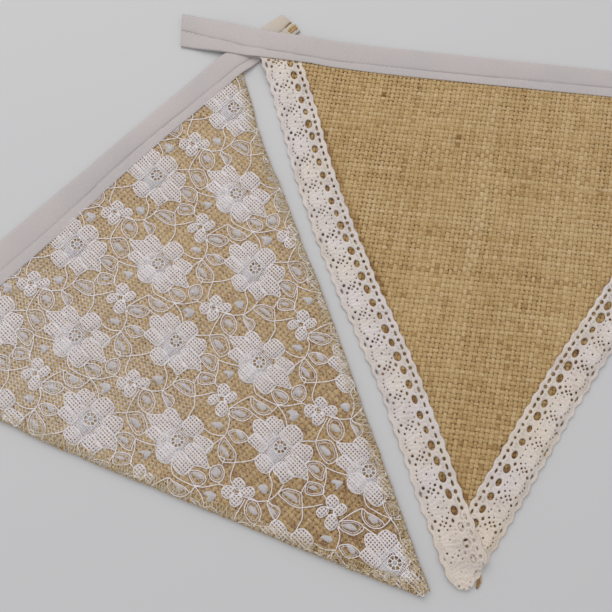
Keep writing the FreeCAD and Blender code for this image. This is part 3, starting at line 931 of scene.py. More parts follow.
CROCHET = crochet_material()
W_END = [-2.0, -0.7, 0.3, 2.5, 6.0, 9.5, 13.0, 18.0, 21.5]
drift_l = spline([(-30, 0.2), (10, 0.3), (20, 0.0), (30, -0.5), (40, -1.0), (50, -2.0), (60, -3.0), (70, -3.7), (85, -4.1), (100, -4.2), (110, -4.0), (120, -3.5), (140, -3.0), (150, -2.0), (160, -1.2), (170, -0.6), (180, -0.3), (212, -0.4), (235, -0.9), (280, -0.9)])
drift_r = spline([(-30, 0.0), (60, -1.6), (110, -1.8), (135, -0.7), (160, 0.8), (180, 1.2), (200, 1.1), (230, 0.7), (280, 0.4)])
FANS_L = [19.5, 33.5, 47.5, 61.7, 76.5, 90.5, 103.8, 118, 131.5, 145.5, 159.3, 173.3, 187.5, 202, 216.5, 231.5, 246.5]
shift_l = spline([(0, 1.9), (60, 1.6), (130, 1.0), (200, 0.8), (245, 0.3), (260, 0.2)])
FANS_L = [x + float(shift_l(x)) for x in FANS_L]
FANS_R = [6.2, 20.3, 34.4, 48.5, 62.6, 76.7, 90.8, 104.9, 119, 133, 147, 161, 175.5, 189, 203, 216.5, 231, 244.5]
lace_l, base_l = lace_strip("crochet_lace_left_2", -1, FANS_L, drift_l, [265, 266.5, 270, 274, 276, 275, 271, 268, 264], W_END, True, 300)
lace_r, base_r = lace_strip("crochet_lace_right_2", 1, FANS_R, drift_r, [268, 269, 271, 273, 273, 272, 270, 266, 262], W_END, False, 340)
lace_l.name, lace_r.name = "crochet_lace_left_cloth", "crochet_lace_right_cloth"


def on_strip(base, d, inw, drift, t, w):
    t, w = np.asarray(t, float), np.asarray(w, float)
    k = w + drift(t) - 0.3
    return base[0] + d[0] * t + inw[0] * k, d[1] * t + inw[1] * k


def stitch_row(name, at, s, v, h, length, gap, radius, mat, seed, sink=0.25):
    """A running row of short stitches along a path given as dense arrays."""
    r = np.random.default_rng(seed)
    P = at(s, v, h)
    run = np.concatenate([[0], np.cumsum(np.linalg.norm(np.diff(P, axis=0), axis=1))])
    m = Mesher()
    x = 0.4
    while x + length < run[-1]:
        q = np.linspace(0, 1, 7)
        along = x + q * length
        pts = np.stack([np.interp(along, run, P[:, i]) for i in range(3)], -1)
        pts[:, 2] += radius * 0.9 - sink * (2 * q - 1) ** 4
        tube(m, pts, (0, 0, 1), radius, radius * 0.8, 5, rnd=r.uniform(0.2, 0.9))
        x += length + gap + r.normal(0, 0.05)
    return m.object(name, mat)


rows2 = []
for nm, bs, dr, sd, t1 in (("left", base_l, drift_l, -1, 262), ("right", base_r, drift_r, 1, 244)):
    tt = np.arange(1.5, t1, 0.8)
    s, v = on_strip(*bs, dr, tt, 14.75 + 0 * tt)
    hgt = lie2(s, v) + 0.66 + 0.40 + 0.44 + 0.06
    if sd < 0:
        hgt = hgt + 0.88 * smooth(tt, 236, 246)
    hgt = hgt * (1 - smooth(v, 232, 238)) + (2.6 + 0 * s) * smooth(v, 232, 238) if sd < 0 else hgt
    keep = v > 1.0
    rows2.append(stitch_row(f"lace_stitch_{nm}_thread", up, s[keep], v[keep], hgt[keep], 2.1, 0.55, 0.17, CREAM, 400 + sd))

# ------------------------------------------------------------------ floral lace
# The repeat is drawn on a sheet of 12 units to the millimetre: x to the right, y down; one repeat is 624 by 840 with a drift of 24.
BIG_A = [
    [(176, 440), (168, 400), (166, 355), (180, 320), (207, 300), (232, 318), (243, 355), (238, 400), (232, 438)],
    [(236, 438), (240, 400), (246, 352), (272, 344), (300, 352), (312, 374), (306, 386), (322, 398), (312, 422), (298, 447), (262, 452)],
    [(262, 455), (300, 446), (335, 452), (355, 475), (355, 515), (338, 545), (300, 548), (265, 535)],
    [(243, 560), (270, 552), (305, 555), (322, 583), (338, 612), (318, 640), (285, 650), (255, 650), (250, 600)],
    [(185, 575), (210, 565), (238, 580), (252, 620), (248, 665), (228, 690), (206, 716), (190, 682), (165, 655), (163, 620), (170, 595)],
    [(165, 560), (172, 590), (160, 625), (162, 652), (130, 648), (98, 640), (105, 600), (102, 570), (125, 552)],
    [(112, 455), (128, 480), (128, 520), (115, 545), (80, 548), (58, 530), (52, 500), (60, 465), (80, 448)],
    [(120, 440), (112, 400), (110, 350), (140, 345), (165, 352), (168, 400), (175, 438), (150, 447)],
]
BIG_B_LOW = [
    [(425, 880), (432, 915), (425, 955), (395, 968), (360, 962), (342, 935), (343, 900), (362, 875), (395, 868)],
    [(405, 865), (392, 840), (386, 800), (380, 766), (412, 760), (438, 768), (440, 800), (452, 840), (455, 865), (430, 870)],
    [(455, 862), (445, 830), (440, 790), (437, 755), (443, 728), (456, 694), (475, 715), (495, 735), (512, 752), (514, 790), (505, 830), (510, 860), (482, 868)],
    [(515, 860), (510, 825), (516, 790), (515, 760), (535, 748), (560, 752), (576, 775), (574, 810), (565, 840), (570, 862), (540, 872)],
    [(560, 870), (600, 868), (632, 880), (641, 915), (636, 950), (615, 970), (575, 968), (552, 955), (545, 915)],
]
BIG_B = [[(x - 24, y - 840) for x, y in p] for p in BIG_B_LOW] + [
    [(515, 145), (540, 130), (560, 145), (575, 180), (580, 225), (555, 240), (522, 238), (515, 200), (505, 165)],
    [(445, 155), (465, 140), (490, 142), (510, 165), (518, 205), (512, 240), (498, 268), (478, 308), (455, 270), (435, 240), (428, 200), (432, 170)],
    [(405, 125), (430, 140), (428, 190), (432, 232), (400, 240), (360, 236), (345, 205), (350, 160), (372, 130)],
]
SMALL = [
    [(498, 488), (480, 492), (455, 495), (440, 475), (448, 450), (470, 440), (492, 448), (503, 470)],
    [(515, 478), (520, 458), (545, 452), (565, 462), (568, 485), (562, 508), (540, 512), (522, 505)],
    [(520, 515), (545, 520), (572, 530), (584, 550), (575, 572), (550, 575), (530, 560), (515, 530)],
    [(500, 508), (508, 525), (500, 548), (475, 556), (448, 548), (443, 522), (460, 505), (485, 500)],
    [(150, 68), (128, 72), (102, 66), (96, 45), (108, 28), (132, 28), (152, 42), (160, 58)],
    [(168, 62), (172, 38), (190, 22), (215, 22), (230, 40), (228, 68), (210, 82), (180, 80)],
    [(172, 90), (200, 92), (228, 95), (232, 118), (222, 135), (190, 132), (165, 115)],
    [(148, 95), (155, 118), (140, 145), (112, 155), (90, 145), (86, 120), (98, 100), (125, 92)],
]
LEAVES = [
    ([(130, 180), (138, 215), (155, 250), (185, 265), (218, 268), (228, 250), (222, 225), (205, 195), (180, 170), (150, 152)], [(150, 180), (175, 190), (192, 215), (186, 242), (165, 222)]),
    ([(290, 190), (262, 212), (248, 245), (252, 285), (278, 318), (315, 330), (318, 295), (305, 250), (293, 220)], [(284, 240), (304, 262), (300, 292), (280, 284), (275, 258)]),
    ([(390, 245), (372, 275), (366, 305), (368, 330), (400, 350), (428, 345), (440, 320), (432, 285), (412, 258)], [(404, 268), (426, 295), (426, 332), (408, 317), (399, 290)]),
    ([(468, 328), (490, 318), (515, 325), (538, 345), (528, 380), (500, 402), (470, 402), (452, 375), (452, 350)], [(476, 340), (506, 337), (514, 360), (493, 377), (474, 363)]),
    ([(650, 242), (610, 250), (580, 270), (560, 300), (555, 335), (575, 360), (603, 382), (635, 355), (645, 320), (648, 280)], [(600, 266), (614, 290), (606, 326), (590, 332), (588, 300)]),
    ([(380, 607), (355, 650), (342, 695), (342, 735), (362, 750), (395, 752), (415, 735), (440, 675), (425, 640), (400, 620)], [(380, 646), (397, 670), (391, 707), (371, 702), (368, 670)]),
    ([(530, 575), (490, 585), (462, 615), (455, 650), (463, 688), (500, 690), (535, 668), (552, 630), (552, 595)], [(510, 605), (524, 630), (511, 657), (494, 642), (493, 615)]),
    ([(603, 652), (585, 668), (572, 700), (562, 745), (590, 748), (615, 735), (618, 705), (605, 680)], [(584, 684), (594, 700), (588, 728), (574, 722)]),
    ([(45, 665), (85, 672), (112, 700), (132, 745), (110, 775), (86, 802), (60, 770), (48, 725)], [(68, 688), (90, 705), (97, 740), (82, 762), (73, 720)]),
    ([(198, 728), (168, 740), (150, 762), (170, 795), (215, 826), (235, 815), (242, 790), (225, 755)], [(184, 750), (206, 763), (212, 787), (191, 777)]),
    ([(250, 657), (285, 662), (312, 690), (322, 720), (320, 745), (290, 760), (262, 775), (245, 740), (246, 700)], [(262, 678), (283, 690), (288, 722), (267, 727)]),
    ([(684, 238), (674, 268), (672, 300), (690, 326), (735, 346), (745, 320), (738, 285), (716, 255)], [(722, 262), (734, 280), (730, 312), (712, 318), (708, 290)]),
]
VINES = [
    [(748, 165), (735, 195), (700, 222), (660, 240)], [(605, 132), (612, 175), (630, 210), (660, 240)], [(518, 238), (580, 232), (620, 236), (660, 240)],
    [(150, 150), (215, 163), (265, 178), (290, 190)], [(350, 140), (325, 175), (318, 205), (330, 250), (345, 290), (362, 328)], [(228, 262), (236, 300), (248, 338)],
    [(315, 330), (340, 332), (362, 328)], [(362, 328), (356, 380), (340, 420), (318, 448)], [(362, 328), (395, 365), (440, 395), (466, 412), (478, 440)],
    [(478, 305), (486, 314), (492, 318)], [(515, 455), (530, 425), (570, 400), (603, 384)], [(603, 384), (640, 415), (680, 440), (705, 447)], [(470, 402), (466, 412)],
    [(325, 555), (350, 575), (380, 607)], [(380, 607), (430, 585), (480, 570), (515, 560)], [(528, 562), (548, 600), (575, 630), (608, 655)],
    [(608, 655), (660, 661), (720, 652)], [(608, 650), (650, 630), (682, 600), (700, 560), (736, 548)], [(320, 745), (280, 785), (240, 808), (215, 826)],
    [(206, 714), (198, 728)], [(215, 826), (212, 862)], [(86, 802), (130, 835), (180, 864)], [(710, 802), (674, 840), (624, 857), (596, 864)],
    [(322, 745), (345, 795), (372, 840), (390, 866)], [(463, 688), (457, 700)], [(132, 745), (165, 733), (198, 728)], [(130, 160), (128, 172), (130, 182)], [(545, 345), (575, 330), (558, 300)],
]
BLOBS = [
    [(25, 140), (50, 150), (65, 175), (52, 195), (35, 182), (30, 165)], [(370, 390), (400, 400), (412, 430), (400, 446), (365, 441), (362, 420), (378, 415)],
    [(290, 815), (315, 825), (332, 850), (330, 863), (285, 861), (300, 842)], [(612, 565), (640, 575), (650, 595), (625, 618), (610, 600)],
]
CENTRES = [((182, 501), 54, (219, 498)), ((416, 80), 54, (452, 76))]


def rounded(points, closed, step):
    """A smooth curve through the points, evenly sampled, in the drawing's units."""
    p = np.array(points, float)
    q = np.concatenate([p[-2:], p, p[:3]]) if closed else np.concatenate([2 * p[:1] - p[1:2], p, 2 * p[-1:] - p[-2:-1]])
    out = []
    i0, i1 = (2, len(p) + 2) if closed else (1, len(p))
    for i in range(i0, i1):
        a, b, c, d = q[i - 1], q[i], q[(i + 1)], q[(i + 2)]
        t = np.linspace(0, 1, 12, endpoint=False)[:, None]
        out.append(0.5 * (2 * b + (c - a) * t + (2 * a - 5 * b + 4 * c - d) * t**2 + (3 * b - a - 3 * c + d) * t**3))
    if not closed:
        out.append(p[-1:])
    c = np.concatenate(out)
    if closed:
        c = np.concatenate([c, c[:1]])
    run = np.concatenate([[0], np.cumsum(np.linalg.norm(np.diff(c, axis=0), axis=1))])
    n = max(4, int(round(run[-1] / step)))
    x = np.linspace(0, run[-1], n + 1)
    c = np.stack([np.interp(x, run, c[:, k]) for k in (0, 1)], -1)
    return c[:-1] if closed else c


# small shifts of the pattern where the cloth is pulled: lower tape's s, v and how far it moves
PULLS = [
    (47.8, 5.3, 0.37, 0.42), (39.1, 13.9, 1.11, 0.47), (30.4, 22.5, 0.77, 1.58), (65.4, 6.7, 1.09, 0.47), (56.7, 15.2, 1.46, 0.87), (48.0, 23.7, 1.47, 0.86),
    (39.4, 32.2, 2.21, 0.9), (82.7, 8.0, 1.42, 0.87), (74.1, 16.5, 1.43, 1.62), (65.4, 24.9, 1.44, 2.35), (56.8, 33.3, 1.81, 1.99), (48.2, 41.7, 1.45, 0.83),
    (99.7, 9.4, 0.69, 0.81), (91.1, 17.7, 1.04, 1.95), (82.6, 26.1, 1.75, 1.99), (74.0, 34.5, 1.77, 1.97), (65.5, 42.8, 1.43, 1.56), (56.9, 51.1, 1.08, 1.9),
    (48.4, 59.5, 1.09, 1.15), (116.5, 10.7, 1.01, 1.2), (107.9, 19.0, 0.66, 1.54), (99.4, 27.3, 1.36, 2.31), (90.9, 35.6, 1.72, 2.69), (82.4, 43.9, 1.39, 2.28),
    (74.0, 52.1, 1.05, 1.15), (65.5, 60.4, 1.06, 0.42), (57.0, 68.6, 1.42, 0.79), (133.0, 12.0, 1.34, 0.85), (124.5, 20.2, 0.64, 1.52), (116.0, 28.4, 0.63, 2.25),
    (107.6, 36.7, 0.64, 2.23), (99.1, 44.9, 0.66, 2.22), (90.7, 53.1, 0.33, 1.83), (82.3, 61.3, 1.03, 1.85), (73.9, 69.5, 1.74, 1.16), (65.5, 77.6, 1.75, 0.44),
    (57.1, 85.8, 1.41, 0.77), (157.6, 5.0, 1.31, 0.85), (149.2, 13.2, 0.64, 0.79), (140.8, 21.4, 0.97, 1.17), (132.4, 29.6, 0.63, 1.5), (124.0, 37.8, 0.29, 1.83),
    (115.6, 45.9, 0.3, 1.82), (107.2, 54.0, 0.31, 1.81), (98.9, 62.2, 0.33, 1.09), (90.5, 70.3, 0.33, 1.08), (82.2, 78.4, 1.03, 1.11), (73.9, 86.5, 1.38, 0.76),
    (173.6, 6.3, 1.63, 0.5), (165.2, 14.5, 1.29, 0.83), (156.8, 22.6, 0.95, 1.16), (148.5, 30.7, 0.61, 1.49), (140.2, 38.8, 0.27, 1.82), (131.8, 46.9, -0.05, 1.43),
    (123.5, 55.0, -0.02, 0.71), (115.2, 63.1, -0.02, 0.71), (106.9, 71.1, -0.03, 1.41), (98.6, 79.2, -0.02, 1.4), (90.3, 87.2, 0.33, 1.06), (82.1, 95.2, 1.7, 1.11),
    (181.0, 15.7, 0.92, 1.16), (172.7, 23.8, 0.58, 1.49), (164.4, 31.8, 0.59, 1.48), (156.1, 39.9, -0.06, 1.42), (147.8, 47.9, -0.06, 1.42), (139.5, 55.9, -0.05, 1.41),
    (131.3, 63.9, -0.05, 1.4), (123.0, 71.9, 0.3, 1.07), (114.8, 79.9, 0.31, 1.06), (106.6, 87.9, -0.01, 0.69), (98.4, 95.9, 0.66, 0.71), (90.2, 103.8, 1.67, 1.09),
    (82.0, 111.8, 1.68, 1.07), (73.8, 119.7, 1.69, 1.74), (188.2, 24.9, 0.56, 1.47), (180.0, 32.9, 0.57, 1.46), (171.8, 40.9, 0.27, 1.08), (155.3, 56.8, -0.68, 0.66),
    (147.1, 64.8, -1.02, 0.99), (138.9, 72.7, -0.68, 0.66), (130.7, 80.6, -0.02, 0.69), (122.6, 88.6, 0.3, 1.04), (114.4, 96.5, -0.03, 1.37), (106.2, 104.4, 0.65, 0.7),
    (98.1, 112.3, 0.67, 0.02), (90.0, 120.1, 0.66, 0.69), (81.9, 128.0, 1.34, 0.7), (195.4, 34.0, 0.2, 1.78), (187.2, 41.9, 0.55, 1.44), (179.0, 49.8, 0.3, 0.37),
    (170.9, 57.7, 0.3, 0.37), (162.7, 65.6, -0.34, 0.33), (154.6, 73.5, -0.37, 1.02), (146.4, 81.4, -0.37, 1.01), (138.3, 89.2, -0.36, 1.01), (130.2, 97.1, -0.02, 0.68),
    (122.1, 104.9, -0.04, 1.35), (114.0, 112.7, -0.35, 1.0), (105.9, 120.6, -0.35, 0.99), (97.9, 128.4, 0.0, 0.0), (89.8, 136.2, 0.0, 0.0), (202.4, 42.9, 0.24, 1.06),
    (194.3, 50.8, 0.25, 1.06), (186.2, 58.6, 0.25, 1.05), (178.1, 66.4, 0.3, 0.36), (170.0, 74.3, 0.3, 0.36), (161.9, 82.1, -0.37, 1.01), (153.8, 89.9, -0.37, 1.0),
    (145.8, 97.7, -0.05, 1.35), (137.7, 105.5, -0.05, 1.34), (129.7, 113.2, -0.36, 0.99), (121.6, 121.0, -0.32, -0.34), (113.6, 128.7, -0.33, 0.32), (105.6, 136.5, 0.0, 0.0),
    (97.6, 144.2, 0.32, 0.33), (89.6, 152.0, 0.66, 0.01), (201.3, 59.5, -0.38, 1.01), (193.3, 67.3, -0.04, 0.68), (185.2, 75.0, 0.25, 1.03), (177.2, 82.8, 0.26, 1.03),
    (169.1, 90.5, -0.37, 0.99), (161.1, 98.3, -0.4, 1.66), (153.1, 106.0, -0.06, 1.33), (145.1, 113.7, -0.36, 0.98), (137.1, 121.4, -0.33, 0.32), (129.2, 129.1, 0.0, 0.0),
    (121.2, 136.8, 0.0, 0.0), (113.2, 144.5, 0.32, 0.33), (105.3, 152.2, 0.0, 0.0), (97.4, 159.8, 0.33, -0.32), (200.2, 75.8, 0.24, 1.02), (192.2, 83.5, 0.25, 1.02),
    (184.2, 91.2, 0.25, 1.01), (176.3, 98.8, -0.08, 1.33), (168.3, 106.5, -0.73, 1.96), (160.4, 114.2, -0.69, 1.3), (152.4, 121.8, -0.66, 0.64), (144.5, 129.5, -0.63, -0.01),
    (136.6, 137.1, -0.66, 0.64), (128.7, 144.7, 0.31, 0.33), (120.8, 152.3, 0.31, 0.33), (112.9, 160.0, -0.33, 0.32), (105.0, 167.5, 0.3, 0.96), (191.2, 99.4, -0.37, 0.98),
    (183.3, 107.0, -0.7, 1.29), (175.4, 114.6, -0.69, 1.29), (167.5, 122.2, -0.66, 0.63), (159.6, 129.8, -0.63, -0.01), (151.7, 137.4, -0.66, 0.63), (143.9, 145.0, -0.33, 0.32),
    (136.0, 152.5, 0.0, 0.0), (128.2, 160.1, 0.0, 0.0), (112.5, 175.2, 0.28, 1.57), (104.7, 182.7, -0.01, 0.63), (174.5, 130.2, -0.65, 0.63), (166.7, 137.7, -0.65, 0.63),
    (158.8, 145.2, -0.36, 0.95), (151.0, 152.7, -0.35, 0.95), (143.2, 160.2, -0.03, 0.63), (135.5, 167.7, 0.6, 0.63), (127.7, 175.2, 0.61, 0.63), (119.9, 182.7, 0.29, 0.93),
    (112.2, 190.1, 0.31, 0.31), (165.9, 152.9, -0.61, -0.01), (158.1, 160.4, -0.03, 0.63), (150.4, 167.8, 0.27, 0.94), (142.6, 175.2, 0.89, 0.93), (134.9, 182.6, 0.28, 0.92),
    (127.2, 190.1, 0.32, -0.31), (149.7, 182.6, -0.64, 0.61), (142.0, 190.0, -0.34, 0.92), (134.4, 197.3, 0.27, 0.91), (126.7, 204.7, 0.28, 0.9), (119.1, 212.0, 0.92, 0.29),
    (141.4, 204.5, -0.93, 0.31), (133.9, 211.8, -0.34, 0.9), (126.3, 219.1, 0.28, 0.89),
]
GRID = 6.0


def pull_field():
    gs, gv = np.meshgrid(np.arange(-12, 276, GRID), np.arange(-24, 260, GRID), indexing="ij")
    num, den = np.zeros((2, *gs.shape)), np.full(gs.shape, 0.12)
    for s0, v0, ds, dv in PULLS:
        w = np.exp(-((gs - s0) ** 2 + (gv - v0) ** 2) / 13.0**2)
        num += w * np.array([ds, dv])[:, None, None]
        den += w
    return num / den


FIELD = pull_field()


def to_flag(X, Y, i, j):
    """Drawing units to the lower tape's s and v, in repeat (i, j)."""
    s, v = 150 - (X + 624 * i + 24 * j) / 12, 40 + (Y + 840 * j) / 12
    a, b = np.clip((s + 12) / GRID, 0, FIELD.shape[1] - 1.001), np.clip((v + 24) / GRID, 0, FIELD.shape[2] - 1.001)
    a0, b0 = np.floor(a).astype(int), np.floor(b).astype(int)
    fa, fb = a - a0, b - b0
    g = (FIELD[:, a0, b0] * (1 - fa) + FIELD[:, a0 + 1, b0] * fa) * (1 - fb) + (FIELD[:, a0, b0 + 1] * (1 - fa) + FIELD[:, a0 + 1, b0 + 1] * fa) * fb
    return s + g[0] + 0.25 * noise2(s, v, 14, 501), v + g[1] + 0.25 * noise2(s, v, 15, 502)


def inside(poly, x, y):
    """Even-odd test of points against one closed polygon."""
    x, y = np.asarray(x), np.asarray(y)
    c = np.zeros(x.shape, bool)
    px, py = poly[:, 0], poly[:, 1]
    j = len(poly) - 1
    for i in range(len(poly)):
        if py[i] != py[j]:
            hit = (py[i] > y) != (py[j] > y)
            c ^= hit & (x < (px[j] - px[i]) * (y - py[i]) / (py[j] - py[i]) + px[i])
        j = i
    return c


def in_lace(s, v):
    return (edge_inside(s, v) > 0.15) & (v > -10) & (v < 241.2)


def runs(keep):
    """Start and end of each run of True."""
    k = np.concatenate([[False], keep, [False]])
    e = np.flatnonzero(k[1:] != k[:-1])
    return list(zip(e[::2], e[1::2]))


def on_lace(s, v, h):
    """Points on pennant 1, h above the hessian's top; inside the tape the layers press together."""
    return low(s, v, lie1(s, v) + (0.62 + h) * (0.45 + 0.55 * smooth(v, -3, 1)))


def grow(poly, k):
    c = poly.mean(0)
    return c + (poly - c) * k


class Strokes:
    """Threads of one repeat, kept in groups of equal length so that they can be laid all at once."""

    def __init__(self):
        self.groups = {}

    def put(self, xy, h, radius, flat, rnd, sides):
        if len(xy) > 1:
            self.groups.setdefault((len(xy), sides, flat), []).append((np.asarray(xy, float), h, radius, rnd))

    def fill(self, poly, pitch, radius, seed, holes=(), tilt=0.0, h=0.12, rnd=0.6, step=62.0, ways=(0, 1)):
        """Two crossing sets of fine threads inside an outline."""
        c = poly.mean(0)
        for way in ways:
            a = tilt + way * np.pi / 2
            d, n = np.array([np.cos(a), np.sin(a)]), np.array([-np.sin(a), np.cos(a)])
            q = poly - c
            lo, hi = (q @ n).min(), (q @ n).max()
            l0, l1 = (q @ d).min(), (q @ d).max()
            p = pitch * 12
            for k, off in enumerate(np.arange(lo + p * 0.35, hi, p)):
                t = np.arange(l0, l1 + 1.5, 1.5)
                xy = c + t[:, None] * d + off * n
                keep = inside(poly, xy[:, 0], xy[:, 1])
                for hx, hy, hr in holes:
                    keep &= np.hypot(xy[:, 0] - hx, xy[:, 1] - hy) > hr
                for a0, a1 in runs(keep):
                    if a1 - a0 >= 4:
                        take = np.unique(np.round(np.linspace(a0, a1 - 1, max(2, int((a1 - a0) * 1.5 / step) + 2))).astype(int))
                        self.put(xy[take], h + 0.09 * way, radius, 0.8, rnd + 0.05 * ((seed * 7 + k * 3) % 5 - 2), 3)

    def curve(self, xy, radius, h, rnd, closed=False, sides=5):
        if closed:
            xy = np.concatenate([xy, xy[:1]])
        self.put(xy, h, radius, 0.85, rnd, sides)

    def lay(self, m, i, j):
        for (n, sides, flat), items in self.groups.items():
            XY = np.array([x[0] for x in items])
            H, R, C = (np.array([x[k] for x in items]) for k in (1, 2, 3))
            s, v = to_flag(XY[..., 0], XY[..., 1], i, j)
            ok = in_lace(s, v)
            full = ok.all(1)
            if full.any():
                tubes(m, on_lace(s[full], v[full], H[full, None]), R[full], R[full] * flat, sides, C[full], np.pi / 2)
            for k in np.flatnonzero(ok.any(1) & ~full):
                for a0, a1 in runs(ok[k]):
                    if a1 - a0 >= 2:
                        tubes(m, on_lace(s[k, a0:a1], v[k, a0:a1], H[k])[None], R[k], R[k] * flat, sides, C[k], np.pi / 2)


def lace_material():
    mat, nt, p = nodes("floral_lace", (0.84, 0.79, 0.78), 0.7, sheen=0.3, spec=0.3)
    t = ramp(nt, attribute(nt, "rnd"), [(0.0, (0.70, 0.63, 0.615)), (0.5, (0.88, 0.81, 0.80)), (0.8, (0.92, 0.86, 0.855)), (1.0, (0.91, 0.895, 0.945))])
    n2 = ramp(nt, noise_tex(nt, 1600, 2, 0.6), [(0.3, (0.92, 0.92, 0.92)), (0.7, (1.05, 1.05, 1.05))])
    patch = ramp(nt, noise_tex(nt, 45, 1), [(0.3, (0.97, 0.965, 0.96)), (0.7, (1.02, 1.02, 1.03))])
    nt.links.new(mix(nt, mix(nt, t, n2, 1.0, "MULTIPLY"), patch, 1.0, "MULTIPLY"), p.inputs["Base Color"])
    bump(nt, p, noise_tex(nt, 3000, 1), 0.3, 0.0001)
    return mat


LACE = lace_material()
fills, lines = Strokes(), Strokes()
for n, petal in enumerate(BIG_A + BIG_B + SMALL):
    small = n >= 16
    c = grow(rounded(petal, True, 8.0), 1.10 if small else 1.07)
    holes = (((505, 497) if n < 20 else (157, 78)) + (18,),) if small else ()
    fills.fill(c, 1.36, 0.48, n, holes, rnd=0.68)
    lines.curve(rounded(c[::2], True, 11.0), 0.20, 0.30, 0.80, closed=True)
for (cx, cy), rad, (hx, hy) in CENTRES:
    a = np.linspace(0, 2 * np.pi, 41)[:-1]
    holes = [(hx + 27 * np.cos(q), hy + 27 * np.sin(q), 8.0) for q in np.arange(8) * np.pi / 4 + 0.3]
    body = np.stack([cx + 100 * np.cos(a), cy + 100 * np.sin(a)], -1)
    fills.fill(body, 0.95, 0.20, 80, [(hx, hy, 36)], rnd=0.84)
    disc = np.stack([cx + (rad + 10 * np.sin(3 * a)) * np.cos(a) * 1.12, cy + (rad + 8 * np.cos(2 * a)) * np.sin(a) * 1.02], -1)
    fills.fill(disc, 0.56, 0.140, 90, holes, h=0.24, rnd=0.92)
    ring = lambda r, q=a: np.stack([hx + r * np.cos(q), hy + r * np.sin(q)], -1)
    lines.curve(ring(38, a[::2]), 0.19, 0.42, 0.97, closed=True)
    lines.curve(ring(15, a[::4]), 0.22, 0.40, 0.95, closed=True)
    for q in np.arange(8) * np.pi / 4 + 0.3 + np.pi / 8:
        lines.curve(np.stack([hx + np.linspace(15, 38, 3) * np.cos(q), hy + np.linspace(15, 38, 3) * np.sin(q)], -1), 0.19, 0.40, 0.92)
for hx, hy in ((505, 497), (157, 78)):
    a = np.linspace(0, 2 * np.pi, 17)[:-1]
    lines.curve(np.stack([hx + 21 * np.cos(a), hy + 21 * np.sin(a)], -1), 0.22, 0.34, 0.88, closed=True)
for n, (outline, inner) in enumerate(LEAVES):
    o = rounded(outline, True, 11.0)
    lines.curve(o, 0.22, 0.30, 0.76, closed=True)
    lines.curve(grow(o, 0.74), 0.13, 0.26, 0.66, closed=True, sides=4)
    fills.fill(grow(rounded(inner, True, 8.0), 1.18), 0.42, 0.15, 200 + n, tilt=0.9, rnd=0.78)
    # short rungs between the two outlines
    g = grow(o, 0.74)
    for k in range(0, len(o), 2):
        lines.put(np.array([o[k], g[k]]), 0.27, 0.085, 0.9, 0.6, 3)
for vine in VINES:
    lines.curve(rounded(vine, False, 10.0), 0.235, 0.34, 0.80)
for n, blob in enumerate(BLOBS):
    fills.fill(grow(rounded(blob, True, 8.0), 1.12), 0.42, 0.15, 300 + n, tilt=0.5, rnd=0.85)

ground, cords = Mesher(), Mesher()
cell = np.meshgrid(np.linspace(0, 760, 9), np.linspace(0, 1000, 9))
for i in range(-7, 5):
    for j in range(-2, 4):
        if in_lace(*to_flag(cell[0].ravel(), cell[1].ravel(), i, j)).any():
            fills.lay(ground, i, j)
            lines.lay(cords, i, j)
# the hair-fine net that carries the pattern
for tilt in (0.55, -0.55):
    d, n = np.array([np.sin(tilt), np.cos(tilt)]), np.array([np.cos(tilt), -np.sin(tilt)])
    for off in np.arange(-150, 400, 1.5):
        t = np.arange(-180, 320, 1.2)
        s, v = off * n[0] + t * d[0], off * n[1] + t * d[1]
        for a0, a1 in runs(in_lace(s, v)):
            if a1 - a0 > 5:
                take = np.unique(np.append(np.arange(a0, a1, 5), a1 - 1))
                for e0, e1 in zip(take[:-1:4], np.append(take[4:-1:4], take[-1])):
                    part = take[(take >= e0) & (take <= e1)]
                    sm, vm = s[part].mean(), v[part].mean()
                    # far marks the upper part of the pennant, where the net is drawn thicker and whiter: a painted haze
                    # of light
                    far = float(smooth(sm, 90, 190) * (1 - smooth(vm, 70, 150)))
                    thin = 0.032 + 0.036 * float(1 - smooth(vm, 90, 200)) + 0.065 * far
                    tubes(ground, on_lace(s[part], v[part], 0.02 + 0.05 * (tilt > 0))[None], thin, thin * 0.9, 3, 0.75 + 0.25 * far)
lace_ground = ground.object("floral_lace_ground", LACE)
lace_cords = cords.object("floral_lace_cords", LACE)


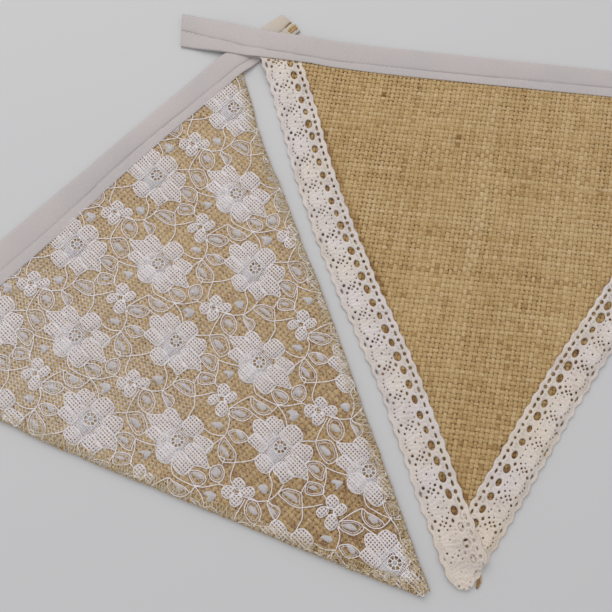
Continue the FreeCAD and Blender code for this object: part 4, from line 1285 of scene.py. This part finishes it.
# ------------------------------------------------------------------ overlocked edges of pennant 1
def overlock(name, side, seed):
    """Looper threads that wrap the slanted edge, a needle line inside them and a purl along the rim."""
    r = np.random.default_rng(seed)
    base = np.array([P1_BASE[0] if side < 0 else P1_BASE[1], 0.0])
    tip = np.array(P1_TIP)
    L = np.linalg.norm(tip - base)
    d = (tip - base) / L
    inw = np.array([-d[1], d[0]])
    inw = inw if inw @ (np.array([P1_TIP[0], 0]) - base) > 0 else -inw
    end = L - 3.6
    bow = BOW_NEAR if side < 0 else BOW_FAR
    m = Mesher()

    def put(t, w, h, radius, rnd, sides=5, flat=0.8):
        t = np.asarray(t, float)
        w = np.asarray(w, float) + bow(t)
        wob = 0.30 * noise2(t, 0, 17, seed + 3) + 0.22 * noise2(t, 0, 5, seed + 4)
        s = base[0] + d[0] * t + inw[0] * (w + wob)
        v = d[1] * t + inw[1] * (w + wob)
        P = low(s, v, np.maximum(lie1(s, v) + h, 0.12))
        tube(m, P, (0, 0, 1), radius, radius * flat, sides, rnd=rnd)

    q = np.linspace(0, 1, 8)
    for kind, (gap, reach, phase) in enumerate(((2.5, 4.4, 0.0), (2.9, 3.9, 1.2))):
        t = 2.0 + phase
        while t < end - 2:
            near_tip = float(smooth(t, L - 75, L - 25))
            pitch = gap * (1 - 0.42 * near_tip) * (1 + 0.10 * r.normal())
            inner = reach + r.normal(0, 0.35)
            tone = lambda: float(np.clip(r.normal(0.80 - 0.24 * near_tip, 0.12), 0.02, 1.0))
            # out over the top to the rim, back in, then a short run underneath
            if r.uniform() < 0.55 * near_tip:
                t += pitch
                continue
            w = inner * (1 - q) - 0.1 * q
            hh = 0.92 + 0.10 * kind + 0.22 * np.sin(np.pi * q) - 0.75 * smooth(q, 0.85, 1.0)
            put(t + q * pitch * 0.55, w, hh, 0.125 + 0.03 * near_tip, tone(), 4)
            w2 = -0.1 + (inner + r.normal(0, 0.25)) * q
            hh2 = 0.17 + (0.75 + 0.10 * kind) * smooth(q, 0.0, 0.15) + 0.20 * np.sin(np.pi * q)
            put(t + pitch * 0.55 + q * pitch * 0.5, w2, hh2, 0.125 + 0.03 * near_tip, tone(), 4)
            put(t + q[::3] * pitch, -0.1 + 3.2 * q[::3], -0.62 + 0 * q[::3], 0.12, r.uniform(0.3, 0.8), 3)
            t += pitch
    # knots where the loopers turn, denser at the tip
    t = 3.0
    while t < end - 2:
        near_tip = float(smooth(t, L - 80, L - 20))
        w0, a = r.uniform(0.2, 4.3), r.uniform(0, np.pi)
        k = np.linspace(-0.5, 0.5, 5)
        put(t + 1.3 * k * np.cos(a), w0 + 1.3 * k * np.sin(a), 1.10 + 0.15 * np.cos(np.pi * k), 0.15, float(np.clip(r.normal(0.60, 0.22), 0, 1)), 4)
        t += r.exponential(1.6 * (1 - 0.72 * near_tip))
    # rows of short stitches along the edge, only near the tip
    for w0 in (1.0, 2.1, 3.2, 4.5):
        t = L - 85 + r.uniform(0, 20)
        while t < end - 3:
            near_tip = float(smooth(t, L - 85, L - 35))
            length = r.uniform(0.9, 1.9)
            if r.uniform() < near_tip:
                tone = float(np.clip(r.choice([0.08, 0.35, 0.62, 0.95], p=[0.22, 0.25, 0.28, 0.25]) + r.normal(0, 0.06), 0, 1))
                k = np.linspace(0, 1, 5)
                put(t + k * length, w0 + r.normal(0, 0.12) + r.normal(0, 0.2) * k, 1.22 - 0.25 * (2 * k - 1) ** 2, 0.18, tone, 4)
            t += length + r.uniform(0.1, 0.6)
    # needle line: short stitches
    t = 1.5
    while t < end - 3:
        put(t + q * 2.3, 4.3 + 0.15 * r.normal() + 0 * q, 1.10 - 0.30 * (2 * q - 1) ** 4, 0.13, r.uniform(0.55, 1.0), 4)
        t += 2.75
    # purl along the rim
    t = np.arange(1.5, end, 0.55)
    put(t, -0.12 + 0.16 * np.sin(t * 2.6), 0.20 + 0.35 * np.cos(t * 2.6), 0.15, 0.30, 4)
    put(t, -0.08 + 0.16 * np.cos(t * 2.2), 0.10 + 0.35 * np.sin(t * 2.2), 0.14, 0.62, 4)
    return m.object(name, GOLD)


over_l = overlock("edge_overlock_left_thread", 1, 601)
over_r = overlock("edge_overlock_right_thread", -1, 641)

# ------------------------------------------------------------------ topstitching and the scrap in the cut end
S = np.arange(LOW_ENDS[0] + 1.5, LOW_ENDS[1] - 1.5, 0.8)
top_low = stitch_row("lower_tape_topstitch_thread", low, S, low_edge(S) - low_crease(S), 0.78 + 0.97 * smooth(S, 4, 13), 2.15, 0.45, 0.16, CREAM, 701, 0.2)
S = np.arange(UP_ENDS[0] + 1.5, UP_ENDS[1] - 1.5, 0.8)
top_up = stitch_row("upper_tape_topstitch_thread", up, S, up_edge(S) - up_crease(S), 0.72 + 0.97 * smooth(S, -9, 0) + lift(S), 2.15, 0.45, 0.16, CREAM, 702, 0.2)
def loose_yarns(name, at, paths):
    """Single yarns given as (s, v, height) points, half width and tone."""
    m = Mesher()
    for pts, half, tone in paths:
        P = np.array(pts, float)
        x = np.linspace(0, 1, 9)
        k = np.linspace(0, 1, len(P))
        P = np.stack([np.interp(x, k, P[:, c]) for c in range(3)], -1)
        tube(m, at(P[:, 0], P[:, 1] + 0.08 * np.sin(9 * x), P[:, 2]), (0, 0, 1), half * (1 + 0.1 * np.sin(7 * x)), 0.36, 6, rnd=tone)
    return m.object(name, HESSIAN)


scrap = [
    loose_yarns("burlap_scrap_warp", low, [([(-24.9, -0.35, 1.25), (-23.6, -0.3, 1.62), (-21.8, -0.35, 1.42), (-19.6, -0.4, 1.15)], 0.72, 0.45), ([(-24.6, 1.15, 1.2), (-23.4, 1.2, 1.38), (-21.6, 1.1, 1.58), (-19.9, 1.0, 1.15)], 0.68, 0.62), ([(-24.5, -3.3, 0.95), (-22.6, -3.25, 1.02), (-20.2, -3.2, 0.85)], 0.42, 0.0)]),
    loose_yarns("burlap_scrap_weft", low, [([(-23.7, -1.15, 1.15), (-23.6, -0.3, 1.25), (-23.5, 1.2, 1.72), (-23.5, 1.9, 1.25)], 0.62, 0.30), ([(-21.6, -1.1, 1.15), (-21.6, -0.3, 1.72), (-21.5, 1.1, 1.28), (-21.5, 1.7, 1.2)], 0.60, 0.40)]),
]

# frayed yarn ends that show beside the lace at pennant 2's tip
ends2 = loose_yarns("burlap_tip_ends_2", up, [
    ([(131.34, 236.60, 0.62), (131.94, 240.60, 0.55), (131.48, 243.54, 0.42)], 0.50, 0.05),
    ([(132.44, 237.00, 0.60), (132.84, 240.80, 0.50), (132.08, 242.64, 0.40)], 0.42, 0.22),
])

# ------------------------------------------------------------------ what rides on what
for o in (lower_tape, top_low, *scrap):
    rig.ride(o, "lower_tape")
for o in (upper_tape, top_up):
    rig.ride(o, "upper_tape")
FLAG1 += [lace_ground, lace_cords, over_l, over_r]
FLAG2 += [lace_l, lace_r, *rows2, ends2]
m3 = lambda p: tuple(float(x) * MM for x in p)
for o in FLAG1:
    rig.blend(o, "lower_tape", "pennant_1", m3(low(128, 1.5, 1)), m3(low(128, 10, 1)))
for o in FLAG2:
    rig.blend(o, "upper_tape", "pennant_2", m3(up(125, 1.5, 1)), m3(up(125, 10, 1)))
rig.replaces(burlap1[0], "burlap_panel_1", "panel_heading_1")
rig.replaces(burlap2[0], "burlap_panel_2", "panel_heading_2")
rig.replaces(lower_tape, "lower_binding_tape")
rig.replaces(upper_tape, "upper_binding_tape")
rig.replaces(top_low, "lower_tape_topstitch")
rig.replaces(top_up, "upper_tape_topstitch")
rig.replaces(scrap[0], "burlap_scrap")
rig.replaces(lace_ground, "floral_lace_1")
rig.replaces(over_l, "edge_overlock_left_1")
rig.replaces(over_r, "edge_overlock_right_1")
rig.replaces(lace_l, "crochet_lace_left_2", "lace_head_left_2")
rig.replaces(lace_r, "crochet_lace_right_2", "lace_head_right_2")
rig.replaces(rows2[0], "lace_stitch_left_2")
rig.replaces(rows2[1], "lace_stitch_right_2")
for o, sl in ((lace_ground, "floral_lace"), (lace_cords, "floral_lace"), (over_l, "gold_thread"), (over_r, "gold_thread"), (lace_l, "crochet_lace"), (lace_r, "crochet_lace"),
              (rows2[0], "cream_thread"), (rows2[1], "cream_thread"), (top_low, "cream_thread"), (top_up, "cream_thread"), (scrap[0], "hessian"), (scrap[1], "hessian")):
    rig.slot(o, sl)
for o, s in [(x, "hessian") for x in (*burlap1, *burlap2, fib1, fib2, ends2)] + [(lower_tape, "binding"), (upper_tape, "binding")]:
    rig.slot(o, s)

# ------------------------------------------------------------------ cloth sizes before hanging
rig.sheet(burlap1[1], flat=(0.2315, 0.2540), area=0.0303, held="laid", with_pieces=[burlap1[0], fib1, over_l, over_r])
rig.sheet(burlap2[1], flat=(0.2500, 0.2560), area=0.0309, held="laid", with_pieces=[burlap2[0], fib2, ends2])
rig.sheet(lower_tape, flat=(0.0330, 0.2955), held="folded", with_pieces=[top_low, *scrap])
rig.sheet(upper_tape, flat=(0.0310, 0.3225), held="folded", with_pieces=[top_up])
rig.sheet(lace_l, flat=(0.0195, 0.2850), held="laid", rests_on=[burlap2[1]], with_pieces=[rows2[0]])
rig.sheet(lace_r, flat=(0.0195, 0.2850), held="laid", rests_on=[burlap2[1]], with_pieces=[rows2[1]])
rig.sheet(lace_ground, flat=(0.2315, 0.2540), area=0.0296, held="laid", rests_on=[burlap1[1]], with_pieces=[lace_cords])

# ------------------------------------------------------------------ floor, light, camera
mat, nt, p = nodes("floor", (0.64, 0.635, 0.64), 0.9)
bpy.ops.mesh.primitive_plane_add(size=80)
floor = bpy.context.object
floor.name = "floor"
floor.data.materials.append(mat)
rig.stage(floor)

scene = bpy.context.scene
scene.view_settings.view_transform = "Standard"
world = bpy.data.worlds.new("world")
scene.world = world
world.use_nodes = True
world.node_tree.nodes["Background"].inputs[0].default_value = (0.97, 0.98, 1.0, 1)
world.node_tree.nodes["Background"].inputs[1].default_value = 0.64


def area(name, at, to, size, watts, color):
    l = bpy.data.lights.new(name, "AREA")
    l.shape, l.size, l.size_y, l.energy, l.color = "RECTANGLE", size[0], size[1], watts, color
    o = bpy.data.objects.new(name, l)
    scene.collection.objects.link(o)
    from mathutils import Vector

    o.location = at
    o.rotation_euler = (Vector(to) - Vector(at)).to_track_quat("-Z", "Y").to_euler()
    return o


area("window", (-0.38, 0.62, 0.80), (0, 0, 0), (1.1, 0.9), 4.6, (1.0, 0.985, 0.965))

from mathutils import Matrix

PX = 2.1  # plane pixels to the millimetre at the camera's distance
f, a, b = 700.0, 0.018889, 0.2352
n = np.array([a, b, 1.0])
nn = n / np.linalg.norm(n)
e1 = np.array([1, 0, 0]) - nn[0] * nn
e1 /= np.linalg.norm(e1)
e2 = np.cross(nn, e1)
turn = math.radians(7.7)
R = np.array([[math.cos(turn), -math.sin(turn), 0], [math.sin(turn), math.cos(turn), 0], [0, 0, 1]])
W = np.stack([e1, -e2, -nn])  # camera axes (right, down, forward) to the plane's
right, down, ahead = (R @ W @ x for x in np.eye(3))
height = f / np.linalg.norm(n) / PX
where = (R @ np.array([0, 0, height]) + np.array([9.625, -92.52, 0])) * MM
cam = bpy.data.objects.new("camera", bpy.data.cameras.new("camera"))
scene.collection.objects.link(cam)
cam.data.sensor_width = 36
cam.data.lens = 36 * f / 612
M = np.eye(4)
M[:3, 0], M[:3, 1], M[:3, 2], M[:3, 3] = right, -down, -ahead, where
cam.matrix_world = Matrix(M.tolist())
cam.data.clip_start = 0.01
scene.camera = cam

print({o.name: sum(len(q.vertices) - 2 for q in o.data.polygons) for o in (*FLAG1, *FLAG2, lower_tape, upper_tape)})
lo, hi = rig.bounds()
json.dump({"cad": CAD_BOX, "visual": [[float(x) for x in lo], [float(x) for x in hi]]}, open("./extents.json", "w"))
